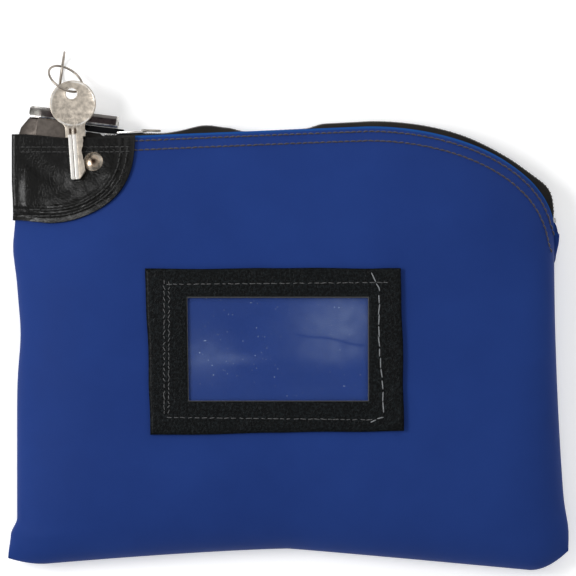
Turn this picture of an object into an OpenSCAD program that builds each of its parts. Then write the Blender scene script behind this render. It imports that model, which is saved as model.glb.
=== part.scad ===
// Locking cash deposit bag: a two-panel fabric pouch with a zip along its curved top,
// a leather corner that holds a push-to-lock cylinder lock, and a framed card window.
// It lies on its back. +X runs along the zip away from the lock, +Y points out of the
// mouth, +Z points up out of the front panel. The origin is on the table under the
// middle of the bag. Lengths are in millimetres and angles in degrees.

/* [Bag] */
// Width across the bottom corners
bag_w = 278.5; // [276:0.5:281]
// Height of the flat front panel, bottom corners to the zip edge
bag_h = 211; // [210:0.5:212]
// Thickness of the filled bag at its middle
bag_t = 30; // [28:0.5:32]
// Thickness of the laminated cloth
fabric_t = 0.9; // [0.7:0.1:0.9]
// Height of the seams and of the zip's middle above the table
seam_z = 9; // [9:0.1:9.4]

/* [Leather corner] */
// Width of the corner piece along the mouth
corner_w = 60; // [56:1:61]
// Thickness of the leather
leather_t = 1.1; // [0.9:0.1:1.1]

/* [Card window] */
// Outside width of the window frame
frame_w = 127; // [120:1:132]
// Outside height of the window frame
frame_h = 81; // [76:1:84]
// Width of the window, for a business card
window_w = 89; // [85:1:92]
// Height of the window
window_h = 52; // [48:1:54]

/* [Zip] */
// Thickness of the closed row of teeth
chain_t = 1.6; // [1.5:0.1:1.7]
// Width of the closed row of teeth
chain_w = 6.6; // [6:0.1:6.6]

/* [Lock] */
// Angle of the lock to the mouth, clockwise from the front
lock_tilt = 7.1; // [6.9:0.1:7.3]
// Half the length of the lock barrel
barrel_hl = 17; // [16.8:0.1:17]
// Half the depth of the lock barrel
barrel_hd = 5.4; // [5.3:0.1:5.4]
// How far the barrel sinks when the lock is pushed shut
push_stroke = 3.2; // [3:0.1:3.2]
// Radius of the key plug
plug_r = 4.3; // [4.2:0.05:4.3]
// Number of tumbler pin stacks
pin_count = 5; // [3:1:5]

/* [Key] */
// Diameter of the key's bow
bow_d = 22.9; // [22:0.1:23.5]
// Length of the key's blade, shoulder to tip
blade_len = 21; // [20:0.5:21]
// Thickness of the key
key_t = 1.9; // [1.7:0.1:1.9]
// Outside diameter of the key rings
ring_d = 19.5; // [19:0.1:20]

/* [Hidden] */
$fn = 48;
gap = 0.1;

// ---- bag outline: four sides as functions of s (left to right) and t (bottom to top)
half_w = bag_w / 2;
top_left = [-135.7, 101.9];
crest = [40, 109];
arc_a = 92.3;
arc_b = 53;
straight_len = norm(crest - top_left);
arc_len = 90 * PI / 180 * sqrt((arc_a * arc_a + arc_b * arc_b) / 2);
// lengths along which s and t run
mouth_len = 294.6;
mid_w = 270;
side_h = 212;
crest_s = straight_len / (straight_len + arc_len);
bottom_y = -(bag_h - 103);
function smooth(a, b, x) = let (k = min(1, max(0, (x - a) / (b - a)))) k * k * (3 - 2 * k);
function side_top(s) = s < crest_s
    ? let (p = top_left + (crest - top_left) * s / crest_s)
        [p.x, p.y + 3.1 * (1 - smooth(top_left.x, -104, p.x))]
    : let (a = 90 * (1 - s) / (1 - crest_s)) [crest.x + arc_a * cos(a), crest.y - arc_b + arc_b * sin(a)];
function side_bottom(s) = let (x = -half_w + bag_w * s, k = abs(x) / half_w)
    [x, bottom_y + 7 - 9 * pow(k, 1.4) + 5 * smooth(0.88, 1, k)];
function dent(t, at, width) = exp(-pow((t - at) / width, 2));
function side_left(t) = let (lo = side_bottom(0), hi = side_top(0))
    [-134.8 + (lo.x + 134.8) * pow(1 - t, 14) + 1.7 * dent(t, 0.53, 0.08) - 2 * dent(t, 0.735, 0.06)
        - 0.9 * smooth(0.8, 0.9, t), lo.y + (hi.y - lo.y) * t];
function side_right(t) = let (lo = side_bottom(1), hi = side_top(1))
    [hi.x + (lo.x - hi.x) * pow(1 - t, 2), lo.y + (hi.y - lo.y) * t];
function on_panel(s, t) =
    (1 - t) * side_bottom(s) + t * side_top(s) + (1 - s) * side_left(t) + s * side_right(t)
    - ((1 - s) * (1 - t) * side_bottom(0) + s * (1 - t) * side_bottom(1)
        + (1 - s) * t * side_top(0) + s * t * side_top(1));

// ---- bag height above and below the seam
mouth_half = 7;
mouth_end = 0.8;
corner_half = barrel_hd + 2;
panel_gap = 0.05;
leather_lift = 0.5;
front_rise = bag_t - seam_z;
back_rise = 14;
function crown(k) = sqrt(max(0, 1 - pow(abs(2 * k - 1), 4.5)));
function from_lock(s, t) = norm([mid_w * s, side_h * (1 - t)]);
function fill(s, t) = crown(s) * crown(t) * (1 - exp(-pow(from_lock(s, t) / 40, 2)));
function spread(s, t) = max(
    corner_half * (1 - smooth(0.19, 0.32, s)) * smooth(0.755, 0.845, t),
    mouth_half * smooth(0.86, 1, t) * (1 - (1 - mouth_end) * smooth(0.62, 0.98, s)));
function blend(m, h) = pow(pow(m, 3) + pow(h, 3), 1 / 3);
function front_h(s, t) = blend(spread(s, t), front_rise * fill(s, t));
function leather_room(s, t) = (leather_lift + leather_t) * (1 - smooth(0.22, 0.32, s)) * smooth(0.6, 0.72, t);
function back_h(s, t) = min(
    seam_z - panel_gap - leather_room(s, t),
    blend(spread(s, t), back_rise * fill(s, t)));
function inner_h(h) = h - fabric_t * min(1, h / 4);

// ---- zip line: straight from the lock to the crest, then a quarter ellipse
zip_from = [-78.3, 104.8];
zip_crest = [42, 111.2];
zip_angle = atan2(zip_crest.y - zip_from.y, zip_crest.x - zip_from.x);
zip_dir = [cos(zip_angle), sin(zip_angle)];
zip_a = 90;
zip_b = 53;
zip_end_angle = 6;
zip_steps = 16;
zip_start = zip_from - 13.5 * zip_dir;
tape_end = zip_from - 20 * zip_dir + [0, 1.7];
function zip_arc(k) = 90 - (90 - zip_end_angle) * k / zip_steps;
zip_path = concat([zip_start], [for (k = [0:zip_steps]) let (a = zip_arc(k))
    [zip_crest.x + zip_a * cos(a), zip_crest.y - zip_b + zip_b * sin(a)]]);
zip_normal = concat([[-sin(zip_angle), cos(zip_angle)]], [for (k = [0:zip_steps]) let (a = zip_arc(k),
    n = [cos(a) / zip_a, sin(a) / zip_b]) n / norm(n)]);

// ---- lock frame: x along the hood, y the way the barrel pops up, z out of the front
lock_at = [-116.7, 105];
barrel_top = 7.3;
barrel_bottom = -25;
step_y = -6;
step_x = 14;
plug_x = -3;
plug_face = 7.8;
first_pin = -1.2;
pin_pitch = 2.6;
chamber_r = 1.25;
pin_r = 1.15;
hood_h = 5.5;
hood_hd = 7;
hood_left = -13;
hood_right = 31.3;
hood_base = barrel_top + gap;
hood_top = hood_base + hood_h;
catch_top = 6.9;
catch_hd = 4.2;
sleeve_wall = 1.2;
dog_y = -20;
dog_t = 2.4;
cam_throw = 1.6;
spring_x = 10.5;
spring_r = 2.6;
boss_at = [22, -10.9];
rivet_r = 2;
rivet_low = -3;
rivet_head_r = 4.8;
rivet_head_h = 1.6;

// ---- slider frame: x along the zip, y out of the mouth, at the slider's middle
slider_hl = 6.5;
slider_hd = 4.7;
plate_in = chain_t / 2 + 0.15;
plate_out = plate_in + 0.9;
tab_x = slider_hl + 0.85;
tab_y = plate_out + 0.2;
tab_tilt = 4;
tab_pin_r = 0.4;

// ---- key and rings
key_turn = 4.5;
key_rest_a = [-103.6, 84.5];
key_rest_b = [-104.8, 101.7];
ring_wire = 0.58;
ring_r = ring_d / 2 - ring_wire;

// Height of the leather's outside at a point near the lock corner.
function leather_z(p) = let (s = (p.x - top_left.x) / mouth_len, t = 1 - (side_top(s).y - p.y) / side_h)
    seam_z + front_h(s, t) + leather_lift + leather_t;
key_za = leather_z(key_rest_a);
key_zb = leather_z(key_rest_b);
key_slope = atan2(key_za - key_zb, key_rest_b.y - key_rest_a.y);
key_clear = 1.4;

// ---- general shapes
function flat(rows) = [for (r = rows) for (p = r) p];
function reversed(rows) = [for (r = rows) [for (i = [len(r) - 1:-1:0]) r[i]]];
function steps(n) = [for (i = [0:n]) 0.5 - 0.5 * cos(180 * i / n)];

// A closed solid between two matching grids of points; outer faces away from inner.
module shell(outer, inner) {
    rows = len(outer);
    cols = len(outer[0]);
    n = rows * cols;
    function id(layer, r, c) = layer * n + r * cols + c;
    skins = [for (r = [0:rows - 2]) for (c = [0:cols - 2]) each [
        [id(0, r, c), id(0, r + 1, c), id(0, r + 1, c + 1)],
        [id(0, r, c), id(0, r + 1, c + 1), id(0, r, c + 1)],
        [id(1, r, c), id(1, r + 1, c + 1), id(1, r + 1, c)],
        [id(1, r, c), id(1, r, c + 1), id(1, r + 1, c + 1)]]];
    ends = [for (c = [0:cols - 2]) each [
        [id(0, 0, c), id(0, 0, c + 1), id(1, 0, c + 1)],
        [id(0, 0, c), id(1, 0, c + 1), id(1, 0, c)],
        [id(0, rows - 1, c), id(1, rows - 1, c + 1), id(0, rows - 1, c + 1)],
        [id(0, rows - 1, c), id(1, rows - 1, c), id(1, rows - 1, c + 1)]]];
    sides = [for (r = [0:rows - 2]) each [
        [id(0, r, 0), id(1, r + 1, 0), id(0, r + 1, 0)],
        [id(0, r, 0), id(1, r, 0), id(1, r + 1, 0)],
        [id(0, r, cols - 1), id(0, r + 1, cols - 1), id(1, r + 1, cols - 1)],
        [id(0, r, cols - 1), id(1, r + 1, cols - 1), id(1, r, cols - 1)]]];
    polyhedron(concat(flat(outer), flat(inner)), concat(skins, ends, sides));
}

module in_lock() translate([lock_at.x, lock_at.y, seam_z]) rotate([0, 0, -lock_tilt]) children();
module in_slider() translate([zip_from.x, zip_from.y, seam_z]) rotate([0, 0, zip_angle]) children();
// Extrudes a flat shape along +Y from y0 to y1.
module rise(y0, y1) translate([0, y0, 0]) rotate([-90, 0, 0]) linear_extrude(y1 - y0) children();
// A rod along Y, X or Z.
module rod_y(x, z, r, y0, y1) translate([x, y0, z]) rotate([-90, 0, 0]) cylinder(r = r, h = y1 - y0);
module rod_x(y, z, r, x0, x1) translate([x0, y, z]) rotate([0, 90, 0]) cylinder(r = r, h = x1 - x0);
module rod_z(x, y, r, z0, z1) translate([x, y, z0]) cylinder(r = r, h = z1 - z0);
module block(x0, x1, y0, y1, z0, z1) translate([x0, y0, z0]) cube([x1 - x0, y1 - y0, z1 - z0]);
module plate(x0, x1, y0, y1, hd) block(x0, x1, y0, y1, -hd, hd);

// ---- bag
cell_s = steps(26);
cell_t = steps(26);
inset_s = fabric_t / mid_w;
inset_t = fabric_t / side_h;

// One cloth panel: way is 1 for the front and -1 for the back.
module panel(way) {
    function outside(s, t) = let (p = on_panel(s, t))
        [p.x, p.y, seam_z + way * (panel_gap + (way > 0 ? front_h(s, t) : back_h(s, t)))];
    function inside(s, t) = let (
        p = on_panel(inset_s + (1 - 2 * inset_s) * s, inset_t + (1 - inset_t) * t),
        h = way > 0 ? front_h(s, t) : back_h(s, t))
        [p.x, p.y, seam_z + way * (panel_gap + inner_h(h))];
    outer = [for (t = cell_t) [for (s = cell_s) outside(s, t)]];
    inner = [for (t = cell_t) [for (s = cell_s) inside(s, t)]];
    if (way > 0) shell(outer, inner);
    else shell(reversed(outer), reversed(inner));
}
module front_panel() color("royalblue") panel(1);
module back_panel() color("royalblue") panel(-1);

// The turned-in seam allowances with their tape, down the left, along the bottom and up the right.
binding_w = 7;
module seam_binding() {
    from_edge = 2.4;
    left_t = [for (i = [12:-1:1]) 0.03 + 0.67 * i / 12];
    right_t = [for (i = [1:12]) 0.03 + 0.9 * i / 12];
    low_s = [for (i = [0:16]) 0.03 + 0.94 * i / 16];
    function edge(d) = concat(
        [for (t = left_t) on_panel(d / mid_w, t)],
        [for (s = low_s) on_panel(s, d / side_h)],
        [for (t = right_t) on_panel(1 - d / mid_w, t)]);
    inner_edge = edge(from_edge + binding_w);
    color("midnightblue") translate([0, 0, seam_z - 0.9])
        linear_extrude(1.8)
        polygon(concat(edge(from_edge), [for (i = [len(inner_edge) - 1:-1:0]) inner_edge[i]]));
}

// ---- zip
tape_t = 0.6;
tape_flat = 5.1;
tape_clear = 0.5;
sewn_w = 7;
module tape(way) {
    // the tapes start with a turned-up end before the first tooth
    path = concat([tape_end], zip_path);
    // s on the panel's top edge beside each point of the zip line
    function beside(i) = i < 2 ? (path[i].x - top_left.x) / (crest.x - top_left.x) * crest_s
        : crest_s + (1 - crest_s) * (1 - zip_arc(i - 2) / 90);
    function section(i, lift) = let (
        p = path[i], n = zip_normal[max(0, i - 1)], s = beside(i),
        edge = on_panel(s, 1 - 0.6 / side_h), sewn = on_panel(s, 1 - sewn_w / side_h),
        half = inner_h(spread(s, 1)) - tape_clear,
        sewn_t = 1 - sewn_w / side_h,
        deep = inner_h(way > 0 ? front_h(s, sewn_t) : back_h(s, sewn_t)) - tape_clear,
        a = p + n * lift, b = edge + n * (lift - 0.5))
        [[a.x, a.y, 0.7], [a.x, a.y, min(tape_flat - 0.2, half - 0.5)],
            [b.x, b.y, half - (lift > 0 ? 0 : tape_t)], [sewn.x, sewn.y, deep - (lift > 0 ? 0 : tape_t)]];
    order = way > 0 ? [0, 1, 2, 3] : [3, 2, 1, 0];
    function placed(q) = [for (k = order) [q[k].x, q[k].y, seam_z + way * q[k].z]];
    shell(
        [for (i = [0:len(path) - 1]) placed(section(i, tape_t / 2))],
        [for (i = [0:len(path) - 1]) placed(section(i, -tape_t / 2))]);
}
module front_zip_tape() color("dimgray") tape(1);
module back_zip_tape() color("dimgray") tape(-1);

// Half of the row of teeth, as a bar along the zip line with a slot for its tape.
teeth_gap = 0.5;
module teeth(way) {
    function along(d) = [for (i = [0:len(zip_path) - 1]) zip_path[i] + zip_normal[i] * d];
    module band(half, z0, z1) translate([0, 0, seam_z + min(way * z0, way * z1)]) linear_extrude(z1 - z0)
        polygon(concat(along(-half), [for (i = [len(zip_path) - 1:-1:0]) along(half)[i]]));
    difference() {
        band(chain_t / 2, teeth_gap, chain_w / 2);
        band(tape_t / 2 + 0.02, 0.65, chain_w / 2 + 1);
    }
}
module front_zip_teeth() color("black") teeth(1);
module back_zip_teeth() color("black") teeth(-1);

module zip_top_stops() color("silver") in_slider() {
    for (way = [-1, 1]) difference() {
        plate(-12.6, -10, -1.3, 1.3, slider_hd);
        plate(-12.7, -9.9, -chain_t / 2 - 0.02, chain_t / 2 + 0.02, 3.4);
        plate(-12.7, -9.9, -tape_t / 2 - 0.1, tape_t / 2 + 0.1, 9);
    }
}
module zip_bottom_stop() color("silver") {
    p = zip_path[zip_steps + 1];
    n = zip_normal[zip_steps + 1];
    translate([p.x, p.y, seam_z]) rotate([0, 0, atan2(n.y, n.x)])
        translate([-1.6, -2.6, -0.6]) cube([3.2, 2.5, 1.2]);
}

// ---- leather corner: one piece wrapped from the front round the side to the back
module corner_leather() {
    depth = 0.205;
    bands = 14;
    leaf = 14;
    function width_s(tau) = corner_w / mouth_len * pow(1 - pow(tau, 3), 0.4);
    // heights are taken a little further in, so the leather also clears the steep sides
    function over(way, s, t) = let (near = [for (dt = [-2 * inset_t, 0, 2 * inset_t])
        way > 0 ? front_h(s + inset_s / 2, t + dt) : back_h(s + inset_s / 2, t + dt)]) max(near);
    function u_shape(tau, off) = let (t = 1 - depth * tau, ws = width_s(tau), lift = leather_lift + off,
        edge_x = side_left(t).x - lift)
        concat(
            [for (i = [leaf:-1:0]) let (s = ws * i / leaf, p = on_panel(s, t), x = i == 0 ? edge_x : p.x)
                [x, p.y, seam_z + over(1, s, t) + lift]],
            [for (i = [0:leaf]) let (s = ws * i / leaf, p = on_panel(s, t), x = i == 0 ? edge_x : p.x)
                [x, p.y, seam_z - over(-1, s, t) - lift]]);
    taus = [for (j = [bands:-1:0]) 0.985 * sin(90 * j / bands)];
    outer = [for (tau = taus) u_shape(tau, leather_t)];
    inner = [for (tau = taus) u_shape(tau, 0)];
    color([0.07, 0.07, 0.07]) difference() {
        shell(reversed(outer), reversed(inner));
        in_lock() rod_z(boss_at.x, boss_at.y, rivet_r + 0.03, 0, 20);
    }
}

// ---- card window
window_at = [-6, -2];
film_z = seam_z + front_rise + 0.1;
film_t = 0.3;
frame_t = 1.1;
module window_film() color([0.8, 0.85, 1, 0.4])
    translate([window_at.x, window_at.y, film_z + film_t / 2])
    cube([window_w + 12, window_h + 12, film_t], center = true);
module window_frame() color([0.08, 0.08, 0.08]) translate([window_at.x, window_at.y, film_z + film_t + 0.02])
    linear_extrude(frame_t) difference() {
        offset(r = 1.5) square([frame_w - 3, frame_h - 3], center = true);
        square([window_w, window_h], center = true);
    }

// ---- lock, in the lock frame
module octagon(hl, hd, cut, flat_z) polygon([
    [-hl, -flat_z], [-hl, flat_z], [-hl + cut, hd], [hl - cut, hd],
    [hl, flat_z], [hl, -flat_z], [hl - cut, -hd], [-hl + cut, -hd]]);
corner_cut = 8.7;
end_flat = 1.9;

module lock_sleeve() color("darkgray") in_lock() {
    low = barrel_bottom - push_stroke - gap;
    rim = -2.4;
    ledge = step_y - push_stroke - gap;
    difference() {
        union() {
            intersection() {
                rise(low - sleeve_wall, rim)
                    octagon(barrel_hl + gap + sleeve_wall, barrel_hd + 1, corner_cut, end_flat + 0.6);
                union() {
                    plate(-30, 30, ledge - sleeve_wall, 0, 9);
                    plate(-step_x - gap - sleeve_wall, 30, low - 2, 0, 9);
                }
            }
            plate(barrel_hl, boss_at.x, boss_at.y - 3, boss_at.y + 3, 2);
            rod_z(boss_at.x, boss_at.y, 4.2, -2, barrel_hd + 1);
        }
        intersection() {
            rise(low, 1) octagon(barrel_hl + gap, barrel_hd + gap, corner_cut, end_flat + 0.06);
            union() {
                plate(-30, 30, ledge, 1, 9);
                plate(-step_x - gap, 30, low, 1, 9);
            }
        }
        plate(-30, -10, dog_y - dog_t / 2 - push_stroke - 0.2, dog_y + dog_t / 2 - push_stroke + 0.2, 2);
        rod_z(boss_at.x, boss_at.y, rivet_r + 0.03, -9, 9);
    }
}

// height and depth of the groove under the hood
neck = 0.7;
module lock_barrel() color("gray") in_lock() difference() {
    intersection() {
        union() {
            rise(barrel_bottom, barrel_top - neck) octagon(barrel_hl, barrel_hd, corner_cut, end_flat);
            rise(0, barrel_top) octagon(barrel_hl, barrel_hd - neck, corner_cut, end_flat);
        }
        translate([0, 0, -9]) linear_extrude(18) polygon([
            [-step_x, barrel_bottom], [barrel_hl, barrel_bottom], [barrel_hl, -2], [16.3, 1.7], [13.4, 5.9],
            [12.4, barrel_top], [-12.4, barrel_top],
            [-13.4, 5.9], [-16.3, 1.7], [-barrel_hl, -2], [-barrel_hl, step_y], [-step_x, step_y]]);
    }
    rod_y(plug_x, 0, plug_r + 0.05, -14.1, barrel_top + 1);
    rod_y(plug_x, 0, 2.55, -18, -14);
    for (k = [0:pin_count - 1]) rod_x(first_pin - k * pin_pitch, 0, chamber_r, plug_x + 3, barrel_hl + 1);
    plate(16, barrel_hl + 1, first_pin - (pin_count - 1) * pin_pitch - 1.6, first_pin + 1.6, 1.9);
    // room for the cam and the dog's yoke, open at the bottom for assembly
    plate(-8.4, 1.2, barrel_bottom - 1, -16.6, 3.4);
    plate(-30, -8, dog_y - dog_t / 2 - 0.1, dog_y + dog_t / 2 + 0.1, 1.85);
    rod_x(dog_y, 0, 1.3, 1, 5);
    rod_y(spring_x, 0, spring_r + 0.15, barrel_bottom - 1, -15);
    for (x = screw_x) rod_y(x, 0, 1.05, 0.8, barrel_top + 1);
}
screw_x = [-10.3, 7];

module lock_hood() color("dimgray") in_lock() difference() {
    rim = 0.8;
    intersection() {
        rise(hood_base, hood_top) polygon([
            [hood_left, -3.6], [hood_left, 3.6], [-6.8, hood_hd], [hood_right, hood_hd],
            [hood_right, -hood_hd], [-6.8, -hood_hd]]);
        translate([-20, 0, 0]) rotate([90, 0, 90]) linear_extrude(60) polygon([
            [hood_base, rim - hood_hd], [hood_base, hood_hd - rim], [hood_base + rim, hood_hd],
            [hood_top - 2.2, hood_hd], [hood_top, hood_hd - 1.8], [hood_top, 1.8 - hood_hd],
            [hood_top - 2.2, -hood_hd], [hood_base + rim, -hood_hd]]);
        translate([0, 0, -9]) linear_extrude(18) polygon([
            [hood_left, hood_base + 1.6], [hood_left + 1.6, hood_base], [hood_right, hood_base],
            [hood_right, hood_top], [hood_left + 1, hood_top], [hood_left, hood_top - 1]]);
    }
    rod_y(plug_x, 0, 5, hood_base - 1, hood_top + 1);
    for (x = screw_x) {
        rod_y(x, 0, 1.3, hood_base - 1, hood_top + 1);
        translate([x, hood_top - 1.4, 0]) rotate([-90, 0, 0]) cylinder(r1 = 1.3, r2 = 2.7, h = 1.4);
        rod_y(x, 0, 2.7, hood_top - 0.01, hood_top + 1);
    }
    // hollow that drops over the slider's catch, and its way out at the end
    plate(13.2, hood_right - 1.4, hood_base - 1, hood_top - 1.5, catch_hd + 0.4);
    plate(hood_right - 1.5, hood_right + 1, hood_base - 1, catch_top + push_stroke + 0.3, catch_hd + 0.3);
}

module hood_screws() color("silver") in_lock() for (x = screw_x) difference() {
    union() {
        rod_y(x, 0, 1, 1.2, hood_top - 1);
        translate([x, hood_top - 1.38, 0]) rotate([-90, 0, 0]) cylinder(r1 = 1.25, r2 = 2.6, h = 1.35);
    }
    translate([x, hood_top - 0.4, 0]) cube([0.6, 1.4, 6], center = true);
}

module barrel_cover() color("silver") in_lock() plate(-8.3, 1.1, barrel_bottom, barrel_bottom + 1, 3.3);
module chamber_strip() color("goldenrod") in_lock()
    plate(16.05, barrel_hl, first_pin - (pin_count - 1) * pin_pitch - 1.55, first_pin + 1.55, 1.85);
driver_x = plug_x + plug_r + 0.12;
module driver_pins() color("silver") in_lock()
    for (k = [0:pin_count - 1]) rod_x(first_pin - k * pin_pitch, 0, pin_r, driver_x, driver_x + 3.2);
module pin_springs() color("silver") in_lock() for (k = [0:pin_count - 1]) difference() {
    rod_x(first_pin - k * pin_pitch, 0, 1.05, driver_x + 3.25, 16);
    rod_x(first_pin - k * pin_pitch, 0, 0.75, driver_x + 3, 17);
}
module return_spring() color("silver") in_lock() difference() {
    rod_y(spring_x, 0, spring_r, barrel_bottom - push_stroke - gap + 0.02, -15.02);
    rod_y(spring_x, 0, spring_r - 0.6, barrel_bottom - 9, -14);
}

module key_plug() color("goldenrod") in_lock() difference() {
    union() {
        rod_y(plug_x, 0, plug_r, -14, plug_face);
        rod_y(plug_x, 0, 2.5, -16.9, -13.9);
    }
    rod_y(plug_x, 0, 0.78, -18, -15);
    // keyway, open at the face
    plate(plug_x - 3.9, plug_x + 3.6, -13.4, plug_face + 1, 1);
    for (k = [0:pin_count - 1])
        rod_x(first_pin - k * pin_pitch, 0, pin_r + 0.05, plug_x, plug_x + plug_r + 1);
}
module key_pins() color("gold") in_lock() for (k = [0:pin_count - 1])
    rod_x(first_pin - k * pin_pitch, 0, pin_r, plug_x + 1.1 + 0.35 * (k * 2 % 3), plug_x + 4.1);
module plug_cam() color("silver") in_lock() {
    difference() {
        rod_y(plug_x, 0, 3.2, -18.6, -16.95);
        rod_y(plug_x, 0, 0.8, -19, -16);
    }
    rod_y(plug_x - cam_throw, 0, 0.8, -21, -18.6);
}
// The stud that holds the cam on the plug's tail.
module cam_stud() color("silver") in_lock() rod_y(plug_x, 0, 0.75, -18.6, -15.1);

module locking_dog() color("silver") in_lock() difference() {
    union() {
        plate(-step_x + 0.1, -7.5, dog_y - dog_t / 2, dog_y + dog_t / 2, 1.75);
        plate(-8.2, -0.9, dog_y - dog_t / 2, dog_y + dog_t / 2, 3.2);
    }
    plate(-5.95, -3.7, dog_y - 4, dog_y + 4, 2.6);
}
module dog_spring() color("silver") in_lock() difference() {
    rod_x(dog_y, 0, 1.2, -0.85, 4.95);
    rod_x(dog_y, 0, 0.8, -2, 6);
}

module corner_rivet() {
    at = lock_at + [boss_at.x * cos(lock_tilt) + boss_at.y * sin(lock_tilt),
        boss_at.y * cos(lock_tilt) - boss_at.x * sin(lock_tilt)];
    // the head lies along the leather
    rise_x = atan2(leather_z(at + [4, 0]) - leather_z(at - [4, 0]), 8);
    rise_y = atan2(leather_z(at + [0, 4]) - leather_z(at - [0, 4]), 8);
    top_z = leather_z(at) - seam_z + 0.8;
    dome_r = (rivet_head_r * rivet_head_r + rivet_head_h * rivet_head_h) / 2 / rivet_head_h;
    color("silver") in_lock() {
        rod_z(boss_at.x, boss_at.y, rivet_r, rivet_low, top_z + 0.2);
        translate([boss_at.x, boss_at.y, top_z]) rotate([rise_y, -rise_x, 0]) intersection() {
            translate([0, 0, rivet_head_h - dome_r]) sphere(r = dome_r);
            cylinder(r = rivet_head_r, h = rivet_head_h);
        }
    }
}
module rivet_washer() color("silver") in_lock() difference() {
    rod_z(boss_at.x, boss_at.y, 3.6, -2.7, -2.05);
    rod_z(boss_at.x, boss_at.y, rivet_r + 0.02, -20, 0);
}

// ---- slider, its catch and the pull tab
module zip_slider() color("silver") in_slider() difference() {
    union() {
        for (way = [-1, 1]) {
            plate(-slider_hl, slider_hl, way > 0 ? plate_in : -plate_out,
                way > 0 ? plate_out : -plate_in, slider_hd);
            for (side = [-1, 1]) block(-slider_hl, slider_hl,
                way > 0 ? 0.5 : -plate_in, way > 0 ? plate_in : -0.5,
                side > 0 ? chain_w / 2 + 0.3 : -slider_hd, side > 0 ? slider_hd : -chain_w / 2 - 0.3);
        }
        plate(-slider_hl + 0.3, -slider_hl + 3, -plate_in, plate_in, teeth_gap - 0.1);
        // lug for the pull tab
        plate(tab_x - 2, tab_x + 0.65, plate_in + 0.2, tab_y + 0.65, 1);
    }
    rod_z(tab_x, tab_y, tab_pin_r + 0.06, -2, 2);
}
// Black block on the slider that the hood drops over, in the lock frame.
module slider_catch() color([0.05, 0.05, 0.05]) in_lock()
    translate([0, 0, -catch_hd]) linear_extrude(2 * catch_hd) polygon([
        [13.6, catch_top], [34.6, catch_top], [34.6, 5.9], [hood_right, 5.3],
        [hood_right, 4.45], [24.4, 4.05], [16, 4.05]]);
module in_tab() in_slider() translate([tab_x, tab_y, 0]) rotate([0, 0, -tab_tilt]) children();
module pull_tab() color("lightgray") in_tab() difference() {
    union() {
        for (way = [-1, 1]) {
            rod_z(0, 0, 0.65, way > 0 ? 1.1 : -2.6, way > 0 ? 2.6 : -1.1);
            block(0, 2.6, -0.5, 0.5, way > 0 ? 1.1 : -2.6, way > 0 ? 2.6 : -1.1);
        }
        rise(-0.5, 0.5) hull() {
            translate([1.7, -2.6]) square([1, 5.2]);
            translate([4.8, 0]) circle(r = 3.1, $fn = 32);
        }
    }
    rod_z(0, 0, tab_pin_r + 0.02, -3, 3);
    rod_y(5, 0, 1.4, -2, 2);
}
module tab_pin() color("silver") in_slider() rod_z(tab_x, tab_y, tab_pin_r, -2.6, 2.6);

// ---- key and rings
// Places a key drawn flat, blade along -Y, on the slope of the leather.
module in_key() translate([key_rest_b.x, key_rest_b.y, key_zb + key_clear])
    rotate([-key_slope, 0, 0]) rotate([0, 0, key_turn]) children();
key_bow_y = 18.5;
hole_y = key_bow_y + 5;
shoulder_y = 1.7;
hole_d = 5.7;
module key() color("silver") in_key() {
    // depth of each cut in the blade's edge, from the shoulder to the tip
    cuts = [0.3, 1.2, 0.8, 0.3, 0.1];
    edge = [for (k = [0:4]) for (d = [0.6, -0.6]) [3.6 - cuts[k], shoulder_y - 4 - 3.1 * k + d]];
    tip_y = shoulder_y - blade_len;
    difference() {
        union() {
            // the bow runs into the neck in a hollow curve
            linear_extrude(key_t) offset(r = -3.5) offset(delta = 3.5) {
                translate([-0.2, key_bow_y]) circle(d = bow_d);
                translate([-4.9, shoulder_y]) square([9.8, 9]);
            }
            linear_extrude(key_t) polygon(concat([[3.6, shoulder_y + 2], [3.6, shoulder_y - 2.2]],
                edge, [[3.6, tip_y + 4.6], [3.6, tip_y + 3.4], [0.6, tip_y], [-3.2, tip_y],
                [-3.7, tip_y + 0.5], [-3.7, shoulder_y + 2]]));
        }
        translate([-0.5, hole_y, -1]) cylinder(d = hole_d, h = key_t + 2);
        // sunk face of the bow, inside its rim and clear of the hole
        translate([-0.2, key_bow_y, key_t - 0.16]) linear_extrude(1) difference() {
            circle(d = bow_d - 1.8);
            translate([-0.3, hole_y - key_bow_y]) circle(d = hole_d + 1.4);
        }
        // milled grooves along the blade
        translate([-2.5, tip_y - 1, key_t - 0.55]) cube([1.1, blade_len + 5, 2]);
        translate([-0.3, tip_y - 1, key_t - 0.4]) cube([0.8, blade_len + 3.5, 2]);
        translate([-0.6, tip_y - 1, -1]) cube([1.1, blade_len + 5, 1.5]);
    }
}

// A wire ring: its middle, the two unit vectors of its plane, and its wire radius.
module ring(at, m, p) multmatrix([
    [m.x, p.x, cross(m, p).x, at.x],
    [m.y, p.y, cross(m, p).y, at.y],
    [m.z, p.z, cross(m, p).z, at.z],
    [0, 0, 0, 1]])
    rotate_extrude($fn = 72) translate([ring_r, 0]) circle(r = ring_wire, $fn = 24);
ring_turn = -34.6;
ring_droop = 56;
hole_z = key_zb + key_clear - hole_y * sin(key_slope) + key_t / 2;
ring_mid = [-110.4, 132.75, hole_z - 5.1];
module key_ring() color("silver") ring(ring_mid, [cos(ring_turn), sin(ring_turn), 0],
    [-sin(ring_turn) * cos(ring_droop), cos(ring_turn) * cos(ring_droop), -sin(ring_droop)]);
spare_turn = 82;
spare_lean = 5;
spare_mid = [-112.5, 137.1, ring_d / 2 + 0.1];
module spare_ring() color("silver") ring(spare_mid, [cos(spare_turn), sin(spare_turn), 0],
    [sin(spare_turn) * sin(spare_lean), -cos(spare_turn) * sin(spare_lean), cos(spare_lean)]);

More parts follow.
